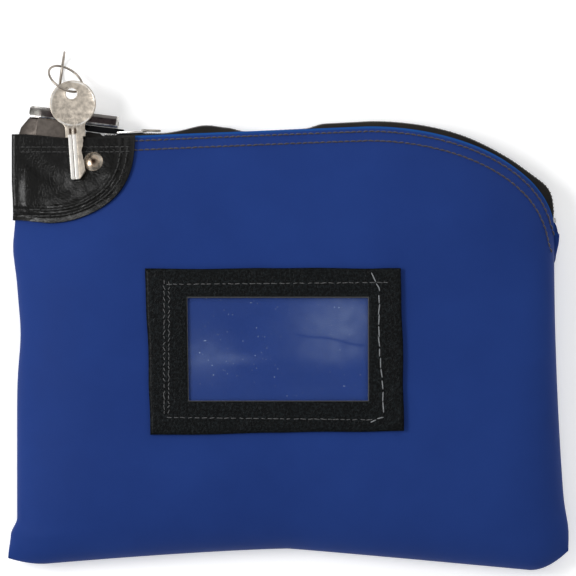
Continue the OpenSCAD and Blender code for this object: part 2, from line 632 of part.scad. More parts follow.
front_panel();
back_panel();
seam_binding();
front_zip_tape();
back_zip_tape();
front_zip_teeth();
back_zip_teeth();
zip_top_stops();
zip_bottom_stop();
corner_leather();
window_frame();
window_film();
lock_sleeve();
corner_rivet();
rivet_washer();
lock_barrel();
lock_hood();
hood_screws();
barrel_cover();
chamber_strip();
driver_pins();
pin_springs();
return_spring();
key_plug();
key_pins();
plug_cam();
cam_stud();
locking_dog();
dog_spring();
zip_slider();
slider_catch();
pull_tab();
tab_pin();
key();
key_ring();
spare_ring();
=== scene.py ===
"""Looks of the locking cash deposit bag: cloth shell, leather corner, zip, lock, key and card window.

Lengths are in millimetres until a mesh is made; MM turns them into metres. X runs along the zip,
Y out of the mouth and Z up out of the front panel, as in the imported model.
"""

import math
import random

import bmesh
import bpy
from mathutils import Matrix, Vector, noise


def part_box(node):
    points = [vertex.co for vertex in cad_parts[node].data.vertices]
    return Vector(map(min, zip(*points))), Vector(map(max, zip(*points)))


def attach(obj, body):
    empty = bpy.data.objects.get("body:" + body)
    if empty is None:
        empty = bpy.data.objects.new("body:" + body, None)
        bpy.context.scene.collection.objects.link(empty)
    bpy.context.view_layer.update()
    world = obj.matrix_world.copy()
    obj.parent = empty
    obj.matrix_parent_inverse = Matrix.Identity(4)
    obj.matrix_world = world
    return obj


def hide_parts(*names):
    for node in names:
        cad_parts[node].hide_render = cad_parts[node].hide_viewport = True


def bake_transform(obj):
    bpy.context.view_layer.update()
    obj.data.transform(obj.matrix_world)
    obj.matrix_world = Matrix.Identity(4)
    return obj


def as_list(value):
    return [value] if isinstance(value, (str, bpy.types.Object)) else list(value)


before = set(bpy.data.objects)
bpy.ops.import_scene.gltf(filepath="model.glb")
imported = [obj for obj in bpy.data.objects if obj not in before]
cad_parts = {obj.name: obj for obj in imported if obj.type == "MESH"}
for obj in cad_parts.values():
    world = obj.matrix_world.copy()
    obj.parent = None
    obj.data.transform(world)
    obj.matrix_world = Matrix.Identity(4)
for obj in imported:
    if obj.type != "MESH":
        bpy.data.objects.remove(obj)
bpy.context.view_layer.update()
MM = 0.001
random.seed(11)


def node_box(name):
    """Lowest and highest corner of a CAD node, in millimetres."""
    low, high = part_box(name)
    return low / MM, high / MM


# ---------------------------------------------------------------- driving sizes, from the frame
front_low, front_high = node_box("front_panel")
frame_low, frame_high = node_box("window_frame")
# Thicknesses, and the closed seam's height above the table
CLOTH = 0.9
LEATHER = 1.1
LEATHER_LIFT = 0.4
PANEL_GAP = 0.05
SEAM_Z = front_low.z - PANEL_GAP

# How far the bag is filled: half its width, the middle of its bottom edge, and how far each panel rises
HALF_W = (front_high.x - front_low.x) / 2
BOTTOM_Y = front_low.y + 7.8
FRONT_RISE = front_high.z - SEAM_Z - PANEL_GAP
BACK_RISE = 14.0
MID_W = 270.0
SIDE_H = 212.0

# Half the thickness of the leather corner and of the mouth, and the share left at the mouth's far end
CORNER_HALF = 7.4
MOUTH_HALF = 7.0
MOUTH_END = 0.8

# The mouth: a straight run from the top left to its crest, then a quarter of an ellipse
TOP_LEFT = Vector((-135.7, 101.9))
CREST = Vector((40.0, 109.0))
ARC_A = 92.3
ARC_B = 53.0
MOUTH_LEN = 294.6
STRAIGHT = (CREST - TOP_LEFT).length
ARC = math.pi / 2 * math.sqrt((ARC_A ** 2 + ARC_B ** 2) / 2)
CREST_S = STRAIGHT / (STRAIGHT + ARC)

# The zip: straight from the lock to its own crest, then round a smaller ellipse to its bottom stop
ZIP_FROM = Vector((-78.3, 104.8))
ZIP_CREST = Vector((42.0, 111.2))
ZIP_A = 90.0
ZIP_B = 53.0
ZIP_END = math.radians(6)
ZIP_DIR = (ZIP_CREST - ZIP_FROM).normalized()

# The lock, turned clockwise in degrees; the hood's edges and the barrel's slope are on its own axes
LOCK_AT = Vector((-116.7, 105.0))
LOCK_TILT = 7.1
BARREL_SLOPE = -8.3
HOOD_BASE = 7.4
HOOD_TOP = 12.9
HOOD_END = 31.3

# The key's bow, the key's turn in degrees, and its shoulder on its own axis; the rivet's middle
KEY_BOW = (-106.4, 120.1, 0)
KEY_BOW_R = 11.4
KEY_TURN = 4.5
KEY_BLADE_Y = -16.6
RIVET = (node_box("corner_rivet")[0] + node_box("corner_rivet")[1]) / 2


def smooth(a, b, x):
    """0 at a, 1 at b and a soft step between."""
    k = min(1.0, max(0.0, (x - a) / (b - a)))
    return k * k * (3 - 2 * k)


# ---------------------------------------------------------------- outline of the bag
def side_top(s):
    """The mouth's edge; it lifts a little at the leather corner."""
    if s < CREST_S:
        p = TOP_LEFT + (CREST - TOP_LEFT) * (s / CREST_S)
        return Vector((p.x, p.y + 3.1 * (1 - smooth(TOP_LEFT.x, -104, p.x))))
    a = math.radians(90 * (1 - s) / (1 - CREST_S))
    return Vector((CREST.x + ARC_A * math.cos(a), CREST.y - ARC_B + ARC_B * math.sin(a)))


def side_bottom(s):
    """The bottom edge sags from its middle towards both corners, which turn up at their tips."""
    x = -HALF_W + 2 * HALF_W * s
    k = abs(x) / HALF_W
    sag, bend, ear = (9.2, 1.35, 4.5) if x < 0 else (12.5, 1.05, 11.5)
    return Vector((x, BOTTOM_Y - sag * k ** bend + ear * max(0.0, (k - 0.86) / 0.14) ** 1.8))


def dent(t, at, width):
    """A smooth hill of height 1 at a value."""
    return math.exp(-((t - at) / width) ** 2)


def side_left(t):
    """The left edge: an ear at the bottom corner, a hollow half way up and a swell below the leather."""
    low, high = side_bottom(0), side_top(0)
    ear = 0.7 * (1 - smooth(0.055, 0.095, t)) + 0.3 * (1 - smooth(0, 0.06, t))
    x = -134.8 + (low.x + 134.8) * ear
    x += 1.7 * dent(t, 0.53, 0.08) - 2.0 * dent(t, 0.735, 0.06) - 0.9 * smooth(0.8, 0.9, t)
    return Vector((x, low.y + (high.y - low.y) * t))


def side_right(t):
    """The right edge leans out to its bottom corner."""
    low, high = side_bottom(1), side_top(1)
    x = high.x + (low.x - high.x) * (1 - t) ** 2 + 1.2 * dent(t, 0.07, 0.06)
    return Vector((x, low.y + (high.y - low.y) * t))


CORNERS = side_bottom(0), side_bottom(1), side_top(0), side_top(1)


def on_panel(s, t):
    """Point of the outline's inside for s from left to right and t from bottom to top."""
    edges = (1 - t) * side_bottom(s) + t * side_top(s) + (1 - s) * side_left(t) + s * side_right(t)
    return edges - ((1 - s) * (1 - t) * CORNERS[0] + s * (1 - t) * CORNERS[1]
                    + (1 - s) * t * CORNERS[2] + s * t * CORNERS[3])


# ---------------------------------------------------------------- height of the cloth
def crown(k):
    """The filled bag's rise across it, from 0 at one edge to 1 in the middle and 0 at the other."""
    return math.sqrt(max(0.0, 1 - abs(2 * k - 1) ** 4.5))


def fill(s, t):
    """Share of the full rise; the bag is flat near the lock."""
    from_lock = math.hypot(MID_W * s, SIDE_H * (1 - t))
    return crown(s) * crown(t) * (1 - math.exp(-(from_lock / 40) ** 2))


def spread(s, t):
    """Half the thickness that the lock and the open zip hold the panels apart."""
    corner = CORNER_HALF * (1 - smooth(0.19, 0.32, s)) * smooth(0.755, 0.845, t)
    mouth = MOUTH_HALF * smooth(0.86, 1, t) * (1 - (1 - MOUTH_END) * smooth(0.62, 0.98, s))
    return max(corner, mouth)


def blended(m, h):
    """The larger of two heights, with a smooth change from one to the other."""
    return (m ** 3 + h ** 3) ** (1 / 3)


def front_h(s, t):
    return blended(spread(s, t), FRONT_RISE * fill(s, t))


def leather_room(s, t):
    """Depth kept free under the back panel for the leather."""
    return (LEATHER_LIFT + 0.1 + LEATHER) * (1 - smooth(0.22, 0.32, s)) * smooth(0.6, 0.72, t)


def back_h(s, t):
    most = SEAM_Z - PANEL_GAP - leather_room(s, t)
    return min(most, blended(spread(s, t), BACK_RISE * fill(s, t)))


def ripple(p, scale, seed):
    return noise.noise(Vector((p[0] / scale, p[1] / scale, seed)))


def front_z(s, t):
    """Top of the front panel, with the slackness of the cloth."""
    p = on_panel(s, t)
    edge = min(s, 1 - s, t) * 240
    inside = smooth(0, 45, edge)
    pucker = 0.45 * math.exp(-(edge / 9) ** 2) * noise.noise(Vector((p.x / 7, p.y / 7, 3)))
    slack = 0.35 * inside * ripple(p, 55, 8) + 0.12 * ripple(p, 18, 21)
    corner = smooth(30, 70, math.hypot(MID_W * s, SIDE_H * (1 - t)))
    return SEAM_Z + PANEL_GAP + front_h(s, t) + (slack + pucker) * corner * smooth(0, 6, edge)


# ---------------------------------------------------------------- mesh helpers
def add_mesh(name, verts, faces, body, material, cad=None):
    """A smooth mesh from points in millimetres that rides on a body and stands for CAD nodes."""
    mesh = bpy.data.meshes.new(name)
    mesh.from_pydata([Vector(v) * MM for v in verts], [], faces)
    mesh.validate()
    bm = bmesh.new()
    bm.from_mesh(mesh)
    bmesh.ops.recalc_face_normals(bm, faces=bm.faces)
    bm.to_mesh(mesh)
    bm.free()
    obj = bpy.data.objects.new(name, mesh)
    bpy.context.scene.collection.objects.link(obj)
    mesh.materials.append(material)
    for poly in mesh.polygons:
        poly.use_smooth = True
    if body:
        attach(obj, body)
    if cad:
        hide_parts(*cad)
    return obj


def grid_faces(rows, cols, close=False):
    """Quads over a grid of points; close joins the last column to the first."""
    faces = []
    for r in range(rows - 1):
        for c in range(cols if close else cols - 1):
            d = (c + 1) % cols
            faces.append((r * cols + c, r * cols + d, (r + 1) * cols + d, (r + 1) * cols + c))
    return faces


def sheet_mesh(rows, thickness):
    """Closed sheet: a grid of points and its copy moved against the grid's normals."""
    n_rows, n_cols = len(rows), len(rows[0])
    points = [Vector(p) for row in rows for p in row]
    lower = []
    for r in range(n_rows):
        for c in range(n_cols):
            along = points[r * n_cols + min(c + 1, n_cols - 1)] - points[r * n_cols + max(c - 1, 0)]
            across = points[min(r + 1, n_rows - 1) * n_cols + c] - points[max(r - 1, 0) * n_cols + c]
            normal = along.cross(across)
            if normal.length < 1e-9:
                normal = Vector((0, 0, 1))
            lower.append(points[r * n_cols + c] - normal.normalized() * thickness)
    n = len(points)
    faces = grid_faces(n_rows, n_cols)
    faces += [tuple(reversed([i + n for i in f])) for f in grid_faces(n_rows, n_cols)]
    rim = [(0, c) for c in range(n_cols)] + [(r, n_cols - 1) for r in range(1, n_rows)]
    rim += [(n_rows - 1, c) for c in range(n_cols - 2, -1, -1)] + [(r, 0) for r in range(n_rows - 2, 0, -1)]
    ids = [r * n_cols + c for r, c in rim]
    for a, b in zip(ids, ids[1:] + ids[:1]):
        faces.append((b, a, a + n, b + n))
    return points + lower, faces


def tube(points, radius, sides=8):
    """Verts and faces of a round tube along points, closed at both ends."""
    pts = [Vector(p) for p in points]
    n = len(pts)
    verts = []
    normal = None
    for i, p in enumerate(pts):
        along = (pts[min(i + 1, n - 1)] - pts[max(i - 1, 0)]).normalized()
        if normal is None:
            normal = along.orthogonal().normalized()
        normal = (normal - along * normal.dot(along)).normalized()
        side = along.cross(normal)
        r = radius(i / (n - 1)) if callable(radius) else radius
        for k in range(sides):
            a = 2 * math.pi * k / sides
            verts.append(p + (normal * math.cos(a) + side * math.sin(a)) * r)
    faces = grid_faces(n, sides, close=True)
    faces.append(tuple(reversed(range(sides))))
    faces.append(tuple((n - 1) * sides + k for k in range(sides)))
    return verts, faces


def merged(parts):
    """One mesh's points and faces from several."""
    verts, faces = [], []
    for v, f in parts:
        base = len(verts)
        verts.extend(v)
        faces.extend(tuple(i + base for i in face) for face in f)
    return verts, faces


def stitches(path, normals, pitch, length, radius, sink=0.12, skew=0.0, wander=0.0):
    """Thread stitches along a line: each is a short arched tube that dips into the cloth at its ends."""
    pts = [Vector(p) for p in path]
    reach = [0.0]
    for a, b in zip(pts, pts[1:]):
        reach.append(reach[-1] + (b - a).length)

    def at(d):
        d = min(max(d, 0.0), reach[-1])
        i = max(k for k in range(len(reach)) if reach[k] <= d + 1e-9)
        i = min(i, len(pts) - 2)
        k = (d - reach[i]) / max(1e-9, reach[i + 1] - reach[i])
        return pts[i].lerp(pts[i + 1], k), Vector(normals[i]).lerp(Vector(normals[i + 1]), k).normalized()

    parts = []
    d = pitch / 2
    while d + length / 2 < reach[-1]:
        length_here = length * random.uniform(1 - wander, 1 + wander)
        sideways = random.uniform(-skew, skew)
        line = []
        for k in (-1, -0.75, -0.3, 0.3, 0.75, 1):
            p, up = at(d + k * length_here / 2)
            q, _ = at(d + k * length_here / 2 + 0.5)
            across = up.cross(q - p).normalized() if (q - p).length > 1e-9 else Vector((0, 0, 0))
            rise = radius * 0.9 * (1 - abs(k) ** 3) - sink * abs(k) ** 6 - radius * 0.25
            line.append(p + up * rise + across * sideways * k)
        parts.append(tube(line, lambda u: radius * (0.75 + 0.25 * math.sin(math.pi * u)), 7))
        d += pitch * random.uniform(1 - wander / 2, 1 + wander / 2)
    return merged(parts)


# ---------------------------------------------------------------- material helpers
def new_material(name, color, roughness=0.5, metallic=0.0, **sockets):
    """A material with fixed values on its shader; sockets are named with _ for a space."""
    mat = bpy.data.materials.new(name)
    mat.use_nodes = True
    shader = mat.node_tree.nodes["Principled BSDF"]
    shader.inputs["Base Color"].default_value = (*color, 1)
    shader.inputs["Roughness"].default_value = roughness
    shader.inputs["Metallic"].default_value = metallic
    for key, value in sockets.items():
        shader.inputs[key.replace("_", " ")].default_value = value
    return mat


class Nodes:
    """Short calls for a material's node tree; a value is a number, a colour or another node's output."""

    def __init__(self, mat):
        self.tree = mat.node_tree
        self.shader = self.tree.nodes["Principled BSDF"]
        self.coords = self.add("TexCoord", {}, "Object")

    def link(self, value, socket):
        if hasattr(value, "is_linked"):
            self.tree.links.new(value, socket)
        else:
            socket.default_value = value

    def new(self, kind, inputs, **settings):
        """A new node, with its settings and its inputs by name or number."""
        node = self.tree.nodes.new("ShaderNode" + kind)
        for name, value in settings.items():
            setattr(node, name, value)
        for key, value in inputs.items():
            self.link(value, node.inputs[key])
        return node

    def add(self, kind, inputs, output, **settings):
        return self.new(kind, inputs, **settings).outputs[output]

    def stretched(self, vector):
        return self.add("Mapping", {"Vector": self.coords, "Scale": vector}, "Vector")

    def local(self, origin, turn=0.0):
        """X, Y and Z in metres from a point given in millimetres, on axes turned about Z by degrees."""
        turned = (0, 0, math.radians(turn))
        place = {"Vector": self.coords, "Location": Vector(origin) * MM, "Rotation": turned}
        near = self.add("Mapping", place, "Vector", vector_type="TEXTURE")
        return tuple(self.new("SeparateXYZ", {"Vector": near}).outputs)

    def away(self, x, y):
        """Distance from the middle of the axes x and y."""
        squares = self.math("ADD", self.math("MULTIPLY", x, x), self.math("MULTIPLY", y, y))
        return self.math("SQRT", squares, 0.0)

    def above(self, value, edge, soft=0.2):
        """1 where the value is past an edge in millimetres, with a soft step."""
        return self.range(value, 0, 1, (edge - soft) * MM, (edge + soft) * MM)

    def below(self, value, edge, soft=0.2):
        return self.math("SUBTRACT", 1.0, self.above(value, edge, soft))

    def band(self, value, low, high, soft=0.2):
        """1 between two edges in millimetres."""
        return self.math("MULTIPLY", self.above(value, low, soft), self.below(value, high, soft))

    def noise(self, scale, detail=3.0, rough=0.5, stretch=None):
        where = self.stretched(stretch) if stretch else self.coords
        inputs = {"Vector": where, "Scale": scale, "Detail": detail, "Roughness": rough}
        return self.add("TexNoise", inputs, "Fac")

    def cells(self, scale, feature):
        return self.add("TexVoronoi", {"Vector": self.coords, "Scale": scale}, "Distance", feature=feature)

    def wave(self, scale, direction, distortion):
        inputs = {"Vector": self.coords, "Scale": scale, "Distortion": distortion, "Detail": 1.0}
        return self.add("TexWave", inputs, "Fac", bands_direction=direction)

    def attribute(self, name):
        return self.add("Attribute", {}, "Fac", attribute_name=name)

    def ramp(self, value, stops):
        node = self.new("ValToRGB", {"Fac": value})
        for element, (at, color) in zip(node.color_ramp.elements, stops):
            element.position = at
            element.color = (*color, 1)
        return node.outputs["Color"]

    def range(self, value, low, high, start=0.0, end=1.0):
        """The value, moved from the range start to end into the range low to high."""
        inputs = {"Value": value, "From Min": start, "From Max": end, "To Min": low, "To Max": high}
        return self.add("MapRange", inputs, "Result")

    def math(self, kind, a, b):
        return self.add("Math", {0: a, 1: b}, "Value", operation=kind)

    def mix(self, amount, a, b):
        """Colour a where the amount is 0 and colour b where it is 1."""
        colors = [value if hasattr(value, "is_linked") else (*value, 1) for value in (a, b)]
        return self.add("Mix", {"Factor": amount, 6: colors[0], 7: colors[1]}, 2, data_type="RGBA")

    def bump(self, height, distance, strength=1.0, under=None):
        """Surface relief, over another relief if there is one under it."""
        inputs = {"Distance": distance, "Strength": strength, "Height": height}
        if under is not None:
            inputs["Normal"] = under
        return self.add("Bump", inputs, "Normal")

    def edges(self, radius):
        """1 along convex edges, from the bevelled normal; used for wear."""
        rounded = self.add("Bevel", {"Radius": radius}, "Normal")
        plain = self.add("NewGeometry", {}, "Normal")
        dot = self.add("VectorMath", {0: rounded, 1: plain}, "Value", operation="DOT_PRODUCT")
        return self.range(dot, 1, 0, 0.75, 0.99)

    def finish(self, color=None, roughness=None, normal=None):
        if color is not None:
            self.link(color, self.shader.inputs["Base Color"])
        if roughness is not None:
            self.link(roughness, self.shader.inputs["Roughness"])
        if normal is not None:
            self.link(normal, self.shader.inputs["Normal"])


def cloth_material(name, dark, light, pitch, depth, roughness=0.62, rim=None):
    """Plain woven cloth with a thin coating: crossed yarns over slow changes of colour; rim, if given, is the
    colour of a painted highlight mixed in where the mesh's rim attribute is set.
    """
    mat = new_material(
        name, light, roughness, Sheen_Weight=0.03, Sheen_Roughness=0.5, Specular_IOR_Level=0.08)
    n = Nodes(mat)
    scale = math.pi / (pitch * 10)
    yarn_x = n.wave(scale, "X", 0.15)
    yarn_y = n.wave(scale, "Y", 0.15)
    weave = n.math("MULTIPLY", yarn_x, yarn_y)
    cloud = n.noise(14, 4, 0.6)
    tone = n.math("ADD", n.range(cloud, 0.15, 0.85, 0.3, 0.7), n.range(weave, -0.08, 0.08))
    fibre = n.noise(2600, 2, 0.7)
    color = n.ramp(n.math("ADD", tone, n.range(fibre, -0.12, 0.12, 0.3, 0.7)), [(0.1, dark), (0.9, light)])
    n.finish(
        # Painted highlight: the rim colour wherever the rim attribute marks the mouth's edge.
        n.mix(n.attribute("rim"), color, rim) if rim else color,
        n.range(cloud, roughness - 0.06, roughness + 0.08, 0.3, 0.7),
        n.bump(n.noise(220, 3, 0.6), 0.12 * MM, 0.35, n.bump(weave, depth, 0.5)),
    )
    return mat


def leather_material(name, color, light, grain, depth, roughness, shine=0.32, raw=None):
    """Coated leather: pebbled cells, fine creases and rubbed highlights."""
    mat = new_material(name, color, roughness, Coat_Weight=0.3 * shine, Coat_Roughness=0.22,
                       Specular_IOR_Level=shine)
    n = Nodes(mat)
    pebbles = n.cells(grain, "SMOOTH_F1")
    creases = n.cells(grain * 0.31, "DISTANCE_TO_EDGE")
    soft = n.noise(grain * 0.09, 4, 0.6)
    height = n.math("ADD", n.range(pebbles, 1, 0, 0, 0.9), n.range(creases, 0, 0.8, 0, 0.08))
    skin = n.mix(n.range(n.noise(grain * 0.4, 2, 0.7), 0, 1, 0.45, 0.66), color, light)
    n.finish(
        n.mix(n.attribute("raw"), skin, raw) if raw else skin,
        n.range(soft, roughness - 0.03, roughness + 0.07, 0.3, 0.7),
        n.bump(height, depth, 0.8, n.bump(soft, 0.7 * MM, 0.35)),
    )
    return mat


def metal_material(name, color, roughness, spots=0.12, wear=None, scratch=0.35, edge=0.35):
    """Cast or stamped metal: mottling, fine scratches and brighter rubbed edges."""
    mat = new_material(name, color, roughness, metallic=1.0)
    n = Nodes(mat)
    blotch = n.noise(420, 4, 0.65)
    fine = n.noise(2400, 3, 0.7)
    lines = n.noise(900, 2, 0.6, stretch=(0.12, 1, 1))
    dark = tuple(c * (1 - spots) for c in color)
    light = tuple(min(1, c * (1 + spots)) for c in color)
    base = n.mix(n.range(n.math("ADD", blotch, n.range(fine, -0.2, 0.2)), 0, 1, 0.32, 0.68), dark, light)
    uneven = n.math("ADD", blotch, n.range(lines, -0.15, 0.15))
    rough = n.range(uneven, roughness - 0.07, roughness + 0.12, 0.3, 0.7)
    if wear:
        base = n.mix(n.math("MULTIPLY", n.edges(edge * MM), n.range(fine, 0.5, 1, 0.3, 0.6)), base, wear)
    n.finish(base, rough, n.bump(n.math("ADD", fine, lines), 0.02 * MM, scratch))
    return mat


def patterned(mat, layers):
    """Lays colours over a material's own one; layers(n) gives pairs of a mask and a colour."""
    n = Nodes(mat)
    color = n.shader.inputs["Base Color"].links[0].from_socket
    for mask, paint in layers(n):
        color = n.mix(mask, color, paint)
    n.finish(color)
    return mat


def hood_layers(n):
    """Painted highlights on the lock's hood, on the lock's own axes: x along the hood, y out of the mouth."""
    x, y, _ = n.local((*LOCK_AT, SEAM_Z), -LOCK_TILT)
    patchy_highlight = n.range(n.noise(300, 2, 0.6), 0.35, 1, 0.35, 0.6)
    grey = (0.2, 0.185, 0.175)
    bright = (0.9, 0.87, 0.82)
    left = n.below(x, -5, 3)
    # Painted light: a lighter left end, a lighter top strip, and patchy painted highlights on the top chamfer
    # at the left, the lower rim and the right end.
    yield n.math("MULTIPLY", left, patchy_highlight), (0.16, 0.157, 0.142)
    yield n.above(y, HOOD_TOP - 1.5, 0.3), grey
    yield n.math("MULTIPLY", left, n.math("MULTIPLY", n.above(y, HOOD_TOP - 0.8), patchy_highlight)), bright
    yield n.math("MULTIPLY", n.band(y, HOOD_BASE - 1, HOOD_BASE + 0.9), patchy_highlight), bright
    yield n.math("MULTIPLY", n.above(x, HOOD_END - 0.7), patchy_highlight), bright


def slider_layers(n):
    """Painted shade: the slider's inner half, which lies in the dark gap of the mouth, is coloured
    near-black.
    """
    _, y, _ = n.local((*ZIP_FROM, SEAM_Z), math.degrees(math.atan2(ZIP_DIR.y, ZIP_DIR.x)))
    yield n.below(y, 0.9), (0.02, 0.02, 0.022)


def barrel_layers(n):
    """Painted shade: the barrel's sloped left side is coloured darker than its front."""
    x, _, _ = n.local((*LOCK_AT, SEAM_Z), -LOCK_TILT)
    yield n.below(x, BARREL_SLOPE), (0.05, 0.043, 0.038)


def key_layers(n):
    """Painted highlights on the rim round the key's bow and down its blade, split by a line of painted shade
    along the groove, and painted shade where the strips run out.
    """
    x, y, _ = n.local(KEY_BOW, KEY_TURN)
    patchy = n.range(n.noise(160, 2, 0.5), 0, 1, 0.4, 0.6)
    rim = n.band(n.away(x, y), KEY_BOW_R - 1.0, KEY_BOW_R - 0.3, 0.25)
    key_highlight = (1.0, 0.97, 0.92)
    shadow = (0.1, 0.07, 0.05)
    blade = n.below(y, KEY_BLADE_Y + 1.2, 0.3)
    yield n.math("MULTIPLY", rim, patchy), key_highlight
    yield n.math("MULTIPLY", blade, n.band(x, -3.6, 0.3, 0.15)), key_highlight
    yield n.math("MULTIPLY", blade, n.band(x, -1.75, -1.45, 0.15)), shadow
    for middle in (-2.3, 0.2):
        run_out = n.math("MULTIPLY", n.band(x, middle - 0.6, middle + 0.6, 0.2), n.band(
            y, KEY_BLADE_Y + 1.5, KEY_BLADE_Y + 4.5, 0.5))
        yield run_out, shadow


def rivet_layers(n):
    """Darker in the middle of the rivet's dome and lighter round its rim."""
    x, y, _ = n.local(RIVET)
    away = n.away(x, y)
    yield n.below(away, 1.4, 0.7), (0.05, 0.028, 0.018)
    yield n.band(away, 3.3, 4.4, 0.5), (0.3, 0.27, 0.23)


def thread_material(name, color, light):
    """Twisted thread."""
    mat = new_material(name, color, 0.55, Sheen_Weight=0.3)
    n = Nodes(mat)
    ply = n.noise(3800, 2, 0.6)
    n.finish(n.mix(n.range(ply, 0, 1, 0.4, 0.65), color, light), None, n.bump(ply, 0.08 * MM, 0.7))
    return mat


BLUE_DARK = (0.0095, 0.032, 0.166)
BLUE_LIGHT = (0.0140, 0.043, 0.206)
# The blue cloth's rim colour is a painted highlight along the front panel's mouth edge.
cloth = cloth_material("Cloth_Blue", BLUE_DARK, BLUE_LIGHT, 0.00055, 0.05 * MM, rim=(0.008, 0.072, 0.29))
binding = cloth_material("Cloth_Binding", (0.008, 0.02, 0.09), (0.014, 0.035, 0.14), 0.0008, 0.08 * MM, 0.75)
tape = cloth_material("Zip_Tape", (0.005, 0.005, 0.005), (0.032, 0.029, 0.026), 0.0009, 0.12 * MM, 0.8)
hide = leather_material(
    "Leather_Corner", (0.002, 0.0019, 0.0017), (0.005, 0.0047, 0.0043), 2300, 0.045 * MM, 0.22, 0.2)
vinyl = leather_material(
    "Frame_Vinyl", (0.0004, 0.0008, 0.0011), (0.0072, 0.0098, 0.0110), 1900, 0.12 * MM, 0.36, 0.1,
    raw=(0.10, 0.10, 0.105))
# Near-black for the slider's catch and the lock's sleeve: a dark finish, made darker still to stand in for
# the shade under the lock's hood (partly painted shade).
black_and_shade = metal_material("Catch_Black", (0.011, 0.011, 0.012), 0.3, 0.1)
# The barrel's finish carries painted shade on its sloped left side.
barrel_metal = patterned(metal_material("Barrel_Metal", (0.14, 0.121, 0.107), 0.4, 0.16), barrel_layers)
# The hood's finish carries painted highlights.
hood_metal = patterned(metal_material("Hood_Metal", (0.042, 0.032, 0.033), 0.3, 0.2), hood_layers)
nickel = patterned(metal_material("Rivet_Nickel", (0.36, 0.29, 0.225), 0.24, 0.3), rivet_layers)
# The slider's finish carries painted shade on its inner half.
slider_metal = patterned(metal_material("Slider_Bright", (0.8, 0.78, 0.75), 0.22, 0.06), slider_layers)
tab_metal = metal_material("Tab_Metal", (0.4, 0.37, 0.32), 0.26, 0.1)
# The key's finish carries painted highlights and painted shade.
key_metal = patterned(metal_material("Key_Metal", (0.62, 0.55, 0.465), 0.36, 0.22), key_layers)
wire = metal_material("Ring_Wire", (0.34, 0.30, 0.26), 0.3, 0.2)
steel = metal_material("Bright_Steel", (0.55, 0.54, 0.52), 0.25, 0.08)
brass = metal_material("Plug_Brass", (0.62, 0.42, 0.16), 0.3, 0.1, wear=(0.85, 0.68, 0.38))
teeth_metal = metal_material("Teeth_Metal", (0.16, 0.15, 0.145), 0.34, 0.2, wear=(0.6, 0.58, 0.55), edge=0.15)
thread_dark = thread_material("Thread_Dark", (0.008, 0.005, 0.008), (0.06, 0.042, 0.048))
thread_black = thread_material("Thread_Black", (0.002, 0.002, 0.002), (0.01, 0.0095, 0.009))
thread_charcoal = thread_material("Thread_Charcoal", (0.02, 0.021, 0.022), (0.13, 0.13, 0.13))
thread_grey = thread_material("Thread_Grey", (0.13, 0.14, 0.15), (0.32, 0.33, 0.34))


def film_material():
    """Clear flexible film: nearly see-through, with painted glare read from a value kept on the mesh's
    points, and a few specks.
    """
    mat = new_material("Window_Film", (0.42, 0.55, 0.85), 0.2, Specular_IOR_Level=0.5, Coat_Weight=0.5,
                       Coat_Roughness=0.1)
    n = Nodes(mat)
    cloud = n.noise(34, 3, 0.6, stretch=(1, 1.6, 1))
    specks = n.range(n.noise(900, 1, 0.4), 0, 1, 0.77, 0.8)
    # Painted reflection: the film's pale colour shows as glare where the value kept on the points is high.
    soft = n.math("MULTIPLY", n.attribute("painted_glare"), n.range(cloud, 0.75, 1.25, 0.3, 0.7))
    n.link(n.math("ADD", soft, n.math("MULTIPLY", specks, 0.4)), n.shader.inputs["Alpha"])
    n.finish(None, n.range(cloud, 0.12, 0.26, 0.3, 0.7), n.bump(n.noise(30, 2, 0.5), 0.8 * MM, 0.35))
    return mat


film = film_material()

# ---------------------------------------------------------------- cloth panels
COLS, ROWS = 150, 120


def eased(n):
    """n + 1 numbers from 0 to 1, closer together near the ends."""
    return [0.5 - 0.5 * math.cos(math.pi * i / n) for i in range(n + 1)]


def keep_on_points(obj, name, values):
    """Stores one number per point of a mesh, for its material to read."""
    layer = obj.data.attributes.new(name, "FLOAT", "POINT")
    for point, value in zip(layer.data, values):
        point.value = value


def panel_rows(height, outline):
    """A grid of points over a panel, bottom row first."""
    return [[(*outline(s, t), height(s, t)) for s in eased(COLS)] for t in eased(ROWS)]


def on_back(s, t):
    """The back panel's outline: below the end of the zip it bulges out past the front."""
    p = on_panel(s, t)
    return Vector((p.x + 2.3 * smooth(0.93, 1, s) * math.exp(-abs((p.y - 57) / 10) ** 3), p.y))


def back_z(s, t):
    return SEAM_Z - PANEL_GAP - back_h(s, t)


def front_panel():
    verts, faces = sheet_mesh(panel_rows(front_z, on_panel), CLOTH)
    obj = add_mesh("Front_Panel", verts, faces, "bag", cloth, ["front_panel"])
    # Painted highlight: a lighter band within about a millimetre of the mouth, kept as the rim attribute.
    mouth_highlight = [smooth(1.5, 0.5, SIDE_H * (1 - t)) for t in eased(ROWS) for _ in eased(COLS)]
    keep_on_points(obj, "rim", mouth_highlight * 2)


def back_panel():
    rows = [row[::-1] for row in panel_rows(back_z, on_back)]
    verts, faces = sheet_mesh(rows, CLOTH)
    add_mesh("Back_Panel", verts, faces, "bag", cloth, ["back_panel"])


front_panel()
back_panel()
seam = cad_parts["seam_binding"]
seam.data.materials.clear()
seam.data.materials.append(binding)


